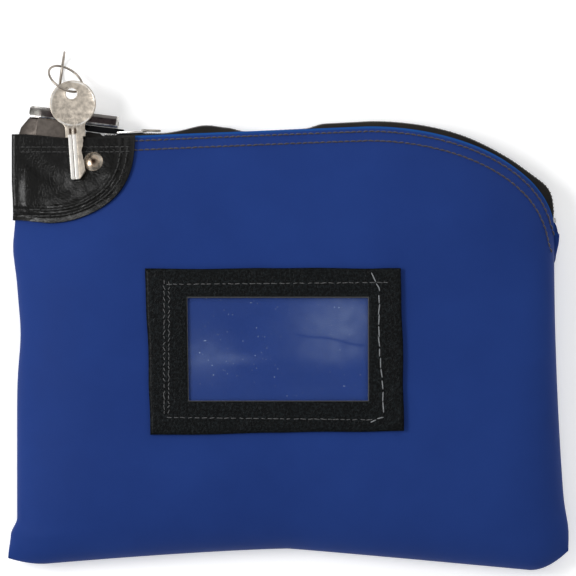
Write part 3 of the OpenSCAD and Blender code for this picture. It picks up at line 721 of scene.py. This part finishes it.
# ---------------------------------------------------------------- stitching along the mouth
def mouth_line(depth, s_from, s_to, count):
    """Points and normals on the front panel a fixed depth below its mouth."""
    path, ups = [], []
    for i in range(count + 1):
        s = s_from + (s_to - s_from) * i / count
        a, b = side_top(max(0, s - 0.004)), side_top(min(1, s + 0.004))
        along = (b - a).normalized()
        t = 1 - depth / SIDE_H / max(0.35, along.x)
        p = on_panel(s, t)
        here = Vector((*p, front_z(s, t)))
        q = on_panel(s, t - 0.006)
        down = Vector((*q, front_z(s, t - 0.006)))
        r = on_panel(min(1, s + 0.004), t)
        side = Vector((*r, front_z(min(1, s + 0.004), t)))
        up = (side - here).cross(here - down)
        path.append(here)
        ups.append(up.normalized() if up.z >= 0 else -up.normalized())
    return path, ups


def mouth_stitching():
    """Two rows of thread below the mouth that fasten the zip's tape."""
    parts = []
    for depth, s_to in ((2.7, 0.985), (7.4, 0.975)):
        path, ups = mouth_line(depth, 0.2, s_to, 140)
        parts.append(stitches(path, ups, 3.0, 2.5, 0.42, wander=0.1, skew=0.2))
    verts, faces = merged(parts)
    add_mesh("Mouth_Stitching", verts, faces, "bag", thread_dark)


mouth_stitching()


# ---------------------------------------------------------------- leather corner
# Width along the mouth, depth as a share of the panel's height, and the two seams' distance from the edge
CORNER_W = 60.2
LEATHER_DEPTH = 0.205
SEAMS = 3.8, 7.6


def leather_width(tau):
    """How far across the mouth, in s, the leather reaches at tau, from 0 at the mouth to 1 at its foot."""
    return CORNER_W / MOUTH_LEN * (1 - tau ** 3) ** 0.4


def leather_over(way, s, t):
    """Highest cloth near a point, so the leather clears it; way is 1 on the front and -1 on the back."""
    height = front_h if way > 0 else back_h
    near = [height(s + CLOTH / 540, t + d * CLOTH / 106) for d in (-1, 0, 1)]
    return max(near)


def bell(x, y, at, size, turn=0.0):
    """A smooth hill of height 1 at a point, with its long and short half widths and a turn in degrees."""
    a = math.radians(turn)
    dx, dy = x - at[0], y - at[1]
    u = (dx * math.cos(a) + dy * math.sin(a)) / size[0]
    v = (dy * math.cos(a) - dx * math.sin(a)) / size[1]
    return math.exp(-u * u - v * v)


def crease(x, y):
    """Slackness of the leather over the front: a soft belly by the side and folds from the curve."""
    height = 0.9 * bell(x, y, (-129, 77), (4, 9))
    height -= 0.6 * bell(x, y, (-125, 89), (11, 2.6), -40)
    height += 0.4 * bell(x, y, (-121, 94), (12, 3), -35)
    height += 0.35 * bell(x, y, (-103, 78), (15, 3.4), 38)
    height -= 0.25 * bell(x, y, (-112, 76), (10, 3), 30)
    height += 0.45 * bell(x, y, (-86, 84), (4, 7), 25)
    height += 0.4 * bell(x, y, (-112, 67), (12, 2.6), -4)
    return height + 0.18 * ripple((x, y), 9, 5) + 0.07 * ripple((x, y), 3, 2)


def from_free_edge(tau, s):
    """Distance in from the leather's curved edge, and 0 past it."""
    wide = CORNER_W / MOUTH_LEN
    inside = 1 - (s / wide) ** 2.5 - tau ** 3
    slope = math.hypot(2.5 * (s / wide) ** 1.5 / CORNER_W, 3 * tau ** 2 / (LEATHER_DEPTH * SIDE_H))
    return max(0.0, inside) / max(slope, 1e-4)


def seam_pull(tau, s, p):
    """Two rows of stitches pull the leather down along its curved edge; it puffs up between them."""
    d = from_free_edge(tau, s)
    pucker = 1 + 0.9 * noise.noise(Vector((p.x / 2.6, p.y / 2.6, 7.0)))
    rows = dent(d, SEAMS[0], 0.8) + dent(d, SEAMS[1], 0.8)
    return pucker * (0.28 * dent(d, sum(SEAMS) / 2, 1.1) + 0.2 * dent(d, SEAMS[1] + 2.2, 1.2) - 0.42 * rows)


def leather_point(tau, s, way, lift, edge=False):
    """A point of the leather's outside; edge is the fold round the bag's side."""
    t = 1 - LEATHER_DEPTH * tau
    p = on_panel(s, t)
    x = side_left(t).x - lift + 0.45 if edge else p.x
    slack = (crease(p.x, p.y) if way > 0 else 0.0) * smooth(0, 0.2, 1 - tau) * smooth(0, 0.02, s)
    height = leather_over(way, s, t) + lift + max(slack + seam_pull(tau, s, p), -0.35)
    if way < 0:
        height = min(height, SEAM_Z - 0.02)
    return (x, p.y, SEAM_Z + way * height)


def leather_rows(lift):
    """Rows that run across the front, round the side and across the back, from the foot to the mouth."""
    leaf, bands = 84, 72
    rows = []
    for j in range(bands, -1, -1):
        tau = 0.985 * math.sin(math.pi / 2 * j / bands)
        ws = leather_width(tau)
        front = [leather_point(tau, ws * i / leaf, 1, lift, i == 0) for i in range(leaf, -1, -1)]
        back = [leather_point(tau, ws * i / leaf, -1, lift, i == 0) for i in range(leaf + 1)]
        wall = [tuple(Vector(front[-1]).lerp(Vector(back[0]), k / 8)) for k in range(1, 8)]
        rows.append((front + wall + back)[::-1])
    return rows


def corner_leather():
    verts, faces = sheet_mesh(leather_rows(LEATHER_LIFT + LEATHER), LEATHER)
    add_mesh("Corner_Leather", verts, faces, "bag", hide, ["corner_leather"])


corner_leather()


def leather_outside(x, y):
    """Point and normal of the leather's outside over a point, by looking straight down."""
    hit, where, normal, _ = bpy.data.objects["Corner_Leather"].ray_cast(
        Vector((x * MM, y * MM, 0.1)), Vector((0, 0, -1)))
    return (where / MM, normal) if hit else (None, None)


def leather_arc(inset, count):
    """A line a fixed distance inside the leather's free edge, down its right side and round to the left."""
    wide = CORNER_W / MOUTH_LEN
    path, ups = [], []
    for i in range(count + 1):
        a = math.radians(3 + 82 * i / count)
        out, back = 1.0, 0.3
        for _ in range(24):
            k = (out + back) / 2
            s, tau = wide * k * math.cos(a) ** 0.8, k * math.sin(a) ** 0.67
            if from_free_edge(tau, s) < inset:
                out = k
            else:
                back = k
        p = on_panel(s, 1 - LEATHER_DEPTH * tau)
        spot, normal = leather_outside(p.x, p.y)
        if spot is not None:
            path.append(spot)
            ups.append(normal)
    return path, ups


def leather_stitching():
    """Two rows along the leather's free edge and two across it below the mouth."""
    parts = []
    for inset in SEAMS:
        path, ups = leather_arc(inset, 70)
        parts.append(stitches(path, ups, 2.9, 2.3, 0.34, wander=0.08, skew=0.12))
    for top_row in (98.6, 96.2):
        path, ups = [], []
        for i in range(40):
            x = -132.5 + 1.7 * i
            spot, normal = leather_outside(x, top_row)
            if spot is not None and x < -70:
                path.append(spot)
                ups.append(normal)
        parts.append(stitches(path, ups, 2.6, 2.0, 0.28, wander=0.1, skew=0.1))
    verts, faces = merged(parts)
    add_mesh("Leather_Stitching", verts, faces, "bag", thread_black)


leather_stitching()

# ---------------------------------------------------------------- card window
WINDOW_X = (frame_low.x + frame_high.x) / 2
WINDOW_Y = (frame_low.y + frame_high.y) / 2
OUT_W = (frame_high.x - frame_low.x) / 2
OUT_H = (frame_high.y - frame_low.y) / 2
# Half sizes of the opening, the frame's thickness and the width of its pale cut edge
OPEN_W = 44.5
OPEN_H = 26.0
FRAME_T = 1.0
CUT = 0.5


def cloth_top(x, y):
    """Height of the front panel's outside over a point."""
    hit, where, _, _ = bpy.data.objects["Front_Panel"].ray_cast(
        Vector((x * MM, y * MM, 0.1)), Vector((0, 0, -1)))
    return where.z / MM if hit else SEAM_Z


def frame_z(x, y):
    """Underside of the window frame, which stands up a little along the pocket's open side."""
    lift = 0.75 + 0.18 * ripple((x, y), 16, 40)
    if x > WINDOW_X + OPEN_W + 7:
        lift += 0.9 * smooth(WINDOW_X + OPEN_W + 7, WINDOW_X + OUT_W, x)
    return cloth_top(x, y) + lift


def window_frame():
    """A hand-cut rectangle of vinyl with an opening."""
    verts, index, faces = [], {}, []
    xs = sorted({round(-OUT_W + 2 * OUT_W * i / 84, 4) for i in range(85)} | {
        -OPEN_W, OPEN_W, -OPEN_W - CUT, OPEN_W + CUT})
    ys = sorted({round(-OUT_H + 2 * OUT_H * i / 54, 4) for i in range(55)} | {
        -OPEN_H, OPEN_H, -OPEN_H - CUT, OPEN_H + CUT, OPEN_H + 3 * CUT})
    raw = []

    def on_frame(x0, x1, y0, y1):
        return abs(x0 + x1) / 2 > OPEN_W or abs(y0 + y1) / 2 > OPEN_H

    def wobble(x, y):
        """The outline wanders and leans in at the left foot and the right top, and the opening sits high."""
        out_x = smooth(OPEN_W, OUT_W, abs(x))
        out_y = smooth(OPEN_H, OUT_H, abs(y))
        up = (y / OUT_H + 1) / 2
        across = (x / OUT_W + 1) / 2
        dx = 0.5 * out_x * noise.noise(Vector((y / 17, 1.5, 0)))
        dy = 0.5 * out_y * noise.noise(Vector((x / 21, 7.5, 0)))
        if x < 0:
            dx += (2.0 - 1.1 * up) * (1 - out_x) + (1.9 - 2.6 * up) * out_x
        else:
            dx += 0.8 * (1 - out_x) - (0.5 + 1.5 * up) * out_x
        if y < 0:
            dy += 1.6 * (1 - out_y) + (1.8 * across - 0.7) * out_y
        return dx * smooth(0, 20, abs(x)), dy * smooth(0, 15, abs(y))

    def cut_edge(x, y):
        """1 on the pale cut edge of the opening, which shows widest along the top."""
        if abs(x) < OPEN_W + CUT and abs(y) < OPEN_H + CUT / 2:
            return 1.0
        return 0.35 if abs(x) < OPEN_W + CUT and 0 < y < OPEN_H + 2 * CUT else 0.0

    def corner(layer, x, y):
        key = (layer, x, y)
        if key not in index:
            dx, dy = wobble(x, y)
            px, py = WINDOW_X + x + dx, WINDOW_Y + y + dy
            rim = min(abs(abs(x) - OUT_W), abs(abs(y) - OUT_H))
            if abs(x) <= OPEN_W + 0.01 or abs(y) <= OPEN_H + 0.01:
                rim = min(rim, max(abs(x) - OPEN_W, abs(y) - OPEN_H))
            soft = 0.32 * (1 - smooth(0, 1.3, rim))
            z = frame_z(px, py) + (FRAME_T - soft if layer else 0)
            index[key] = len(verts)
            verts.append((px, py, z))
            raw.append(cut_edge(x, y))
        return index[key]

    cells = [(x0, x1, y0, y1) for x0, x1 in zip(xs, xs[1:]) for y0, y1 in zip(ys, ys[1:])]
    borders = {}
    for x0, x1, y0, y1 in cells:
        if not on_frame(x0, x1, y0, y1):
            continue
        loop = [(x0, y0), (x1, y0), (x1, y1), (x0, y1)]
        faces.append(tuple(corner(1, *p) for p in loop))
        faces.append(tuple(corner(0, *p) for p in reversed(loop)))
        for a, b in zip(loop, loop[1:] + loop[:1]):
            borders[(a, b)] = borders.get((b, a), 0) + 1
            if (b, a) in borders:
                del borders[(a, b)]
                del borders[(b, a)]
    for a, b in borders:
        faces.append((corner(1, *b), corner(1, *a), corner(0, *a), corner(0, *b)))
    obj = add_mesh("Window_Frame", verts, faces, "bag", vinyl, ["window_frame"])
    keep_on_points(obj, "raw", raw)


window_frame()


def film_crease(x, y):
    """1 on a crease that runs down to the right through the film's glare, 0 away from it."""
    along = (x - WINDOW_X - 8.5) / 34.5
    off = y - WINDOW_Y - 8.6 + 5.7 * along + 0.5 * math.sin(9 * along)
    return math.exp(-(off / 0.6) ** 2) * smooth(-0.05, 0.1, along) * (1 - smooth(0.95, 1.1, along))


def painted_film_glare(x, y):
    """Painted glare: how strongly the film's pale colour shows, in soft patches of reflected light at the
    upper right and at the left.
    """
    u = (x - WINDOW_X) / OPEN_W
    v = (y - WINDOW_Y) / OPEN_H
    glare = 0.085 * bell(u, v, (0.75, 0.55), (0.45, 0.45)) + 0.03 * bell(u, v, (0.6, -0.05), (0.4, 0.2))
    glare += 0.04 * bell(u, v, (-0.78, -0.1), (0.25, 0.4)) + 0.03 * bell(u, v, (-0.45, -0.15), (0.25, 0.1))
    return 0.01 + glare * (1 - 0.85 * film_crease(x, y)) * (1 + 0.4 * noise.noise(Vector((x / 5, y / 5, 4))))


def window_film():
    """Thin film under the frame, slightly wavy between its edges."""
    half_w, half_h = OPEN_W + 5, OPEN_H + 5
    cols, rows_n = 150, 100
    rows = []
    painted_glare = []
    for j in range(rows_n + 1):
        y = WINDOW_Y - half_h + 2 * half_h * j / rows_n
        row = []
        for i in range(cols + 1):
            x = WINDOW_X - half_w + 2 * half_w * i / cols
            inner = smooth(0, 8, half_w - abs(x - WINDOW_X)) * smooth(0, 8, half_h - abs(y - WINDOW_Y))
            wave = 0.22 * inner * noise.noise(Vector((x / 22, y / 14, 9))) + 0.12 * inner
            row.append((x, y, cloth_top(x, y) + 0.35 + wave - 0.1 * film_crease(x, y)))
            painted_glare.append(painted_film_glare(x, y))
        rows.append(row)
    verts, faces = sheet_mesh(rows, 0.12)
    obj = add_mesh("Window_Film", verts, faces, "bag", film, ["window_film"])
    # Painted glare, kept on the points for the film's material.
    keep_on_points(obj, "painted_glare", painted_glare * 2)


window_film()


def seam_path(points, count):
    """Points on the frame's top along a broken line given from the window's middle."""
    path, ups = [], []
    lengths = [math.dist(a, b) for a, b in zip(points, points[1:])]
    total = sum(lengths)
    for i in range(count + 1):
        d = total * i / count
        k = 0
        while k < len(lengths) - 1 and d > lengths[k]:
            d -= lengths[k]
            k += 1
        u = min(1, d / lengths[k])
        x = WINDOW_X + points[k][0] * (1 - u) + points[k + 1][0] * u
        y = WINDOW_Y + points[k][1] * (1 - u) + points[k + 1][1] * u
        path.append(Vector((x, y, frame_z(x, y) + FRAME_T)))
        ups.append(Vector((0, 0, 1)))
    return path, ups


def window_stitching():
    """Fine thread round the frame, and coarser pale thread by the pocket's open side."""
    middle_x = (OUT_W + OPEN_W) / 2
    middle_y = (OUT_H + OPEN_H) / 2
    left = [(-middle_x - 0.8, middle_y + 2), (-middle_x - 0.8, -middle_y + 1)]
    left_two = [(-middle_x + 1.6, middle_y + 1), (-middle_x + 1.4, -middle_y + 2)]
    top = [(-middle_x, middle_y - 0.6), (middle_x + 3, middle_y + 0.4)]
    bottom = [(-middle_x, -middle_y + 0.6), (middle_x - 4, -middle_y - 0.6)]
    parts = []
    for line, pitch, skew in ((left, 2.7, 0.7), (left_two, 2.3, 0.6), (top, 3.4, 0.2), (bottom, 3.4, 0.2)):
        path, ups = seam_path(line, 60)
        parts.append(stitches(path, ups, pitch, pitch * 0.7, 0.22, wander=0.35, skew=skew))
    verts, faces = merged(parts)
    add_mesh("Window_Stitching", verts, faces, "bag", thread_charcoal)
    right = [(OPEN_W + 2.3, OUT_H - 2), (OPEN_W + 6.2, OUT_H - 9.5), (OPEN_W + 6.2, 2), (OPEN_W + 7.9, -16),
             (OPEN_W + 8.4, -OPEN_H - 5.8)]
    tail = [(OPEN_W + 8.4, -OPEN_H - 6.2), (OPEN_W + 1.2, -OPEN_H - 9.4)]
    parts = []
    for line, pitch in ((right, 5.4), (tail, 3.4)):
        path, ups = seam_path(line, 60)
        parts.append(stitches(path, ups, pitch, pitch * 0.84, 0.3, sink=0.1, wander=0.2, skew=0.35))
    verts, faces = merged(parts)
    add_mesh("Pocket_Stitching", verts, faces, "bag", thread_grey)


window_stitching()

# ---------------------------------------------------------------- zip
CHAIN_T = 1.6
CHAIN_W = 6.6
TOOTH_PITCH = 1.15
# Length of chain before ZIP_FROM, hidden by the slider, and of bare tape before that
CHAIN_LEAD = 13.5
TAPE_END = 8.5
ZIP_ARC = math.sqrt((ZIP_A ** 2 + ZIP_B ** 2) / 2)
ZIP_LENGTH = (ZIP_CREST - ZIP_FROM).length + CHAIN_LEAD + (math.pi / 2 - ZIP_END) * ZIP_ARC


def hump(x):
    """How far the slack zip strays from its straight line: a hump by the lock, then a sunken stretch."""
    sunken = smooth(-30, -20, x) - smooth(8, 18, x)
    return 2.3 * math.exp(-((x + 41.5) / 9.5) ** 2) - 2.0 * sunken - 0.5 * math.exp(-((x + 62) / 6) ** 2)


def zip_point(d):
    """Point and outward normal of the zip line a distance along it from the slider's end of the chain."""
    start = ZIP_FROM - CHAIN_LEAD * ZIP_DIR
    straight = (ZIP_CREST - start).length
    if d < 0:
        turned_up = 1.5 * smooth(0, 2, -d) + 1.1 * smooth(2, TAPE_END, -d)
        return start + ZIP_DIR * d + Vector((0, turned_up)), Vector((-ZIP_DIR.y, ZIP_DIR.x))
    if d <= straight:
        p = start + ZIP_DIR * d
        return p + Vector((0, hump(p.x))), Vector((-ZIP_DIR.y, ZIP_DIR.x))
    a = max(math.pi / 2 - (d - straight) / ZIP_ARC, ZIP_END)
    p = Vector((ZIP_CREST.x + ZIP_A * math.cos(a), ZIP_CREST.y - ZIP_B + ZIP_B * math.sin(a)))
    outward = Vector((math.cos(a) / ZIP_A, math.sin(a) / ZIP_B)).normalized()
    stray = 2.7 * dent(math.degrees(a), 19.5, 8.5) - 0.6 * dent(math.degrees(a), 47, 11)
    return p + outward * stray, outward


def zip_frame(d):
    """Point, direction along the zip and direction out of the bag, a distance along the zip."""
    p, n = zip_point(d)
    q, _ = zip_point(d + 0.5)
    along = (q - p).normalized() if (q - p).length > 1e-6 else Vector((n.y, -n.x))
    up = Vector((-along.y, along.x))
    return Vector((*p, SEAM_Z)), Vector((*along, 0)), Vector((*up, 0))


def tooth(way):
    """One tooth: a shank gripping the tape, a narrower neck and a rounded head across the middle."""
    outline = [(CHAIN_W / 2, 0.42), (0.9, 0.42), (0.5, 0.3), (0.1, 0.5), (-0.45, 0.42)]
    ring = [(z, x) for z, x in outline] + [(z, -x) for z, x in reversed(outline)]
    verts = []
    for y, k in ((CHAIN_T / 2, 0.8), (CHAIN_T / 2 - 0.25, 1), (-CHAIN_T / 2 + 0.25, 1), (-CHAIN_T / 2, 0.8)):
        verts += [(x * k, y, way * (z if k == 1 else z * 0.97)) for z, x in ring]
    n = len(ring)
    faces = grid_faces(4, n, close=True) + [tuple(reversed(range(n))), tuple(3 * n + i for i in range(n))]
    return verts, faces


def zip_teeth(way, name, cad):
    """Every second tooth of the chain, from the front tape (way 1) or the back one (way -1)."""
    verts, faces = [], []
    base_verts, base_faces = tooth(way)
    count = int((ZIP_LENGTH - 1) / TOOTH_PITCH / 2)
    for i in range(count):
        d = 1.0 + TOOTH_PITCH * (2 * i + (0 if way > 0 else 1))
        p, along, up = zip_frame(d)
        start = len(verts)
        verts += [p + along * x + up * y + Vector((0, 0, z)) for x, y, z in base_verts]
        faces += [tuple(k + start for k in f) for f in base_faces]
    add_mesh(name, verts, faces, "bag", teeth_metal, [cad])


zip_teeth(1, "Front_Zip_Teeth", "front_zip_teeth")
zip_teeth(-1, "Back_Zip_Teeth", "back_zip_teeth")


def zip_s(p):
    """The mouth's s beside a point of the zip line."""
    if p.x < CREST.x:
        return (p.x - TOP_LEFT.x) / (CREST.x - TOP_LEFT.x) * CREST_S
    a = math.degrees(math.atan2((p.y - CREST.y + ARC_B) / ARC_B, (p.x - CREST.x) / ARC_A))
    return CREST_S + (1 - CREST_S) * (1 - min(90, max(0, a)) / 90)


def zip_tape(way, name, cad):
    """Tape from the teeth round to the inside of its panel, where it is sewn."""
    rows = []
    steps = 260
    for i in range(steps + 1):
        d = (ZIP_LENGTH + TAPE_END) * i / steps - TAPE_END
        p, _, up = zip_frame(d)
        s = min(0.995, zip_s(p))
        height = front_z if way > 0 else back_z
        edge_t = 1 - 1.0 / SIDE_H
        sewn_t = 1 - 7.0 / SIDE_H
        edge = Vector((*on_panel(s, edge_t), height(s, edge_t) - way * (CLOTH + 0.15)))
        sewn = Vector((*on_panel(s, sewn_t), height(s, sewn_t) - way * (CLOTH + 0.2)))
        half = abs(edge.z - SEAM_Z)
        flat = min(4.9, half - 0.6)
        bend = p + Vector((0, 0, way * (flat + 0.5))) - up * 0.8
        row = [p - up * 0.3 + Vector((0, 0, way * z)) for z in (0.75, 1.8, 3.0, flat)]
        row += [bend, bend.lerp(edge, 0.5) + Vector((0, 0, way * 0.2)), edge, edge.lerp(sewn, 0.5), sewn]
        rows.append(row if way > 0 else row[::-1])
    verts, faces = sheet_mesh(rows, -0.55)
    add_mesh(name, verts, faces, "bag", tape, [cad])


zip_tape(1, "Front_Zip_Tape", "front_zip_tape")
zip_tape(-1, "Back_Zip_Tape", "back_zip_tape")


# ---------------------------------------------------------------- what each sheet was cut to
# Piece, flat size in metres, flat area in square metres, how it is held and what it lies on
CUTS = [
    ("Front_Panel", (0.285, 0.228), 0.0610, "laid", ["Back_Panel"]),
    ("Back_Panel", (0.281, 0.224), 0.0584, "laid", []),
    ("Corner_Leather", (0.062, 0.096), 0.0055, "folded", ["Front_Panel", "Back_Panel"]),
    ("Window_Frame", (0.1275, 0.0825), 0.0059, "laid", ["Front_Panel"]),
    ("Window_Film", (0.0995, 0.0622), None, "laid", ["Front_Panel"]),
    ("Front_Zip_Tape", (0.258, 0.014), None, "stretched", ["Front_Panel"]),
    ("Back_Zip_Tape", (0.258, 0.013), None, "stretched", ["Back_Panel"]),
]
for piece, flat, area, held, under in CUTS:
    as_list(under)


# ---------------------------------------------------------------- springs inside the lock
def lock_point(x, y, z):
    """A point given on the lock's own axes."""
    a = math.radians(-LOCK_TILT)
    return Vector((LOCK_AT.x + x * math.cos(a) - y * math.sin(a),
                   LOCK_AT.y + x * math.sin(a) + y * math.cos(a), SEAM_Z + z))


def coil(name, cad, start, end, radius, wire_r, turns):
    """A wound spring between two points on the lock's own axes."""
    a, b = Vector(start), Vector(end)
    along = (b - a).normalized()
    side = Vector((0, 0, 1))
    other = along.cross(side)
    count = 18 * turns
    line = []
    for i in range(count + 1):
        angle = 2 * math.pi * turns * i / count
        round_it = (side * math.cos(angle) + other * math.sin(angle)) * radius
        line.append(lock_point(*(a.lerp(b, i / count) + round_it)))
    verts, faces = tube(line, wire_r, 6)
    obj = add_mesh(name, verts, faces, None, steel, [cad])
    lock_point(*a) * MM
    lock_point(*b) * MM
    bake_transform(obj)


coil("Return_Spring", "return_spring", (10.5, -27.9, 0), (10.5, -15.4, 0), 2.2, 0.35, 8)
coil("Dog_Spring", "dog_spring", (-0.6, -20, 0), (4.7, -20, 0), 0.95, 0.2, 6)


# ---------------------------------------------------------------- carried-over metal parts
def dress(node_name, material, bevel=0.0, segments=2, angle=35):
    """Gives a CAD part its finish and small rounded edges."""
    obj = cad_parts[node_name]
    obj.data.materials.clear()
    obj.data.materials.append(material)
    if bevel:
        weld = obj.modifiers.new("Weld", "WELD")
        weld.merge_threshold = 0.002 * MM
        mod = obj.modifiers.new("Bevel", "BEVEL")
        mod.width = bevel * MM
        mod.segments = segments
        mod.limit_method = "ANGLE"
        mod.angle_limit = math.radians(angle)
        mod.harden_normals = True
    obj.data.shade_smooth()
    obj.data.set_sharp_from_angle(angle=math.radians(angle))


for node_name, material, *rounding in (
    ("lock_hood", hood_metal, 0.25, 3, 16),
    ("lock_barrel", barrel_metal, 0.25, 3, 16),
    ("lock_sleeve", black_and_shade, 0.2),
    ("hood_screws", steel, 0.1),
    ("barrel_cover", steel),
    ("chamber_strip", brass),
    ("driver_pins", steel),
    ("pin_springs", steel),
    ("key_plug", brass, 0.12),
    ("key_pins", brass),
    ("plug_cam", steel),
    ("cam_stud", steel),
    ("locking_dog", steel, 0.15),
    ("zip_slider", slider_metal, 0.2, 3),
    ("slider_catch", black_and_shade, 0.25, 3),
    ("pull_tab", tab_metal, 0.18, 3),
    ("tab_pin", steel),
    ("zip_top_stops", steel, 0.2),
    ("zip_bottom_stop", steel, 0.3),
    ("corner_rivet", nickel),
    ("rivet_washer", nickel),
    ("key", key_metal, 0.35, 3),
    ("key_ring", wire),
    ("spare_ring", wire),
):
    dress(node_name, material, *rounding)


# ---------------------------------------------------------------- floor, light and camera
def soft_light(name, location, size, power):
    """A rectangular light, in metres and watts, that faces the bag."""
    data = bpy.data.lights.new(name, "AREA")
    data.shape = "RECTANGLE"
    data.size, data.size_y = size
    data.energy = power
    obj = bpy.data.objects.new(name, data)
    bpy.context.scene.collection.objects.link(obj)
    obj.location = location
    obj.rotation_euler = (-Vector(location)).to_track_quat("-Z", "Y").to_euler()


def floor():
    """A pale table, just under the bag."""
    half = 3.0
    corners = [(-half, -half, 0), (half, -half, 0), (half, half, 0), (-half, half, 0)]
    mesh = bpy.data.meshes.new("Floor")
    mesh.from_pydata(corners, [], [(0, 1, 2, 3)])
    obj = bpy.data.objects.new("Floor", mesh)
    bpy.context.scene.collection.objects.link(obj)
    obj.location.z = -0.0003
    mat = new_material("Floor_White", (0.93, 0.93, 0.93), 0.9, Emission_Color=(1, 1, 1, 1),
                       Emission_Strength=0.32)
    n = Nodes(mat)
    n.finish(n.ramp(n.noise(3, 3, 0.5), [(0.3, (0.92, 0.92, 0.92)), (0.7, (0.94, 0.94, 0.94))]))
    mesh.materials.append(mat)


def studio():
    """Dim room with an overhead softbox and five more around the bag, brightest from the upper left."""
    world = bpy.data.worlds.new("Studio")
    world.use_nodes = True
    world.node_tree.nodes["Background"].inputs["Color"].default_value = (0.95, 0.97, 1, 1)
    world.node_tree.nodes["Background"].inputs["Strength"].default_value = 0.15
    bpy.context.scene.world = world
    soft_light("Top_Light", (0, 0, 2.3), (1.7, 1.7), 5.0)
    for name, azimuth, elevation, size, power in (
        ("Key_Light", 165, 46, (0.5, 0.4), 7.5),
        ("Fill_Light", 20, 42, (1.4, 1.0), 3.0),
        ("Back_Light", 75, 34, (1.8, 0.8), 5.0),
        ("Front_Light", -80, 38, (1.8, 0.8), 3.0),
        ("Side_Light", -170, 35, (1.6, 1.0), 5.0),
    ):
        a, e = math.radians(azimuth), math.radians(elevation)
        reach = 1.3
        place = (reach * math.cos(e) * math.cos(a), reach * math.cos(e) * math.sin(a), reach * math.sin(e))
        soft_light(name, place, size, power)
    view = bpy.context.scene.view_settings
    view.view_transform = "Standard"
    view.look = "None"


def camera():
    """Straight above the bag, with a lens that takes in its width."""
    data = bpy.data.cameras.new("Camera")
    height = 1.7
    width = 0.2866
    middle = Vector((0.0, 0.0289))
    data.sensor_width = 36
    data.lens = data.sensor_width * (height - SEAM_Z * MM) / width
    data.clip_end = 20
    obj = bpy.data.objects.new("Camera", data)
    bpy.context.scene.collection.objects.link(obj)
    obj.location = (middle.x, middle.y, height)
    bpy.context.scene.camera = obj


floor()
studio()
camera()
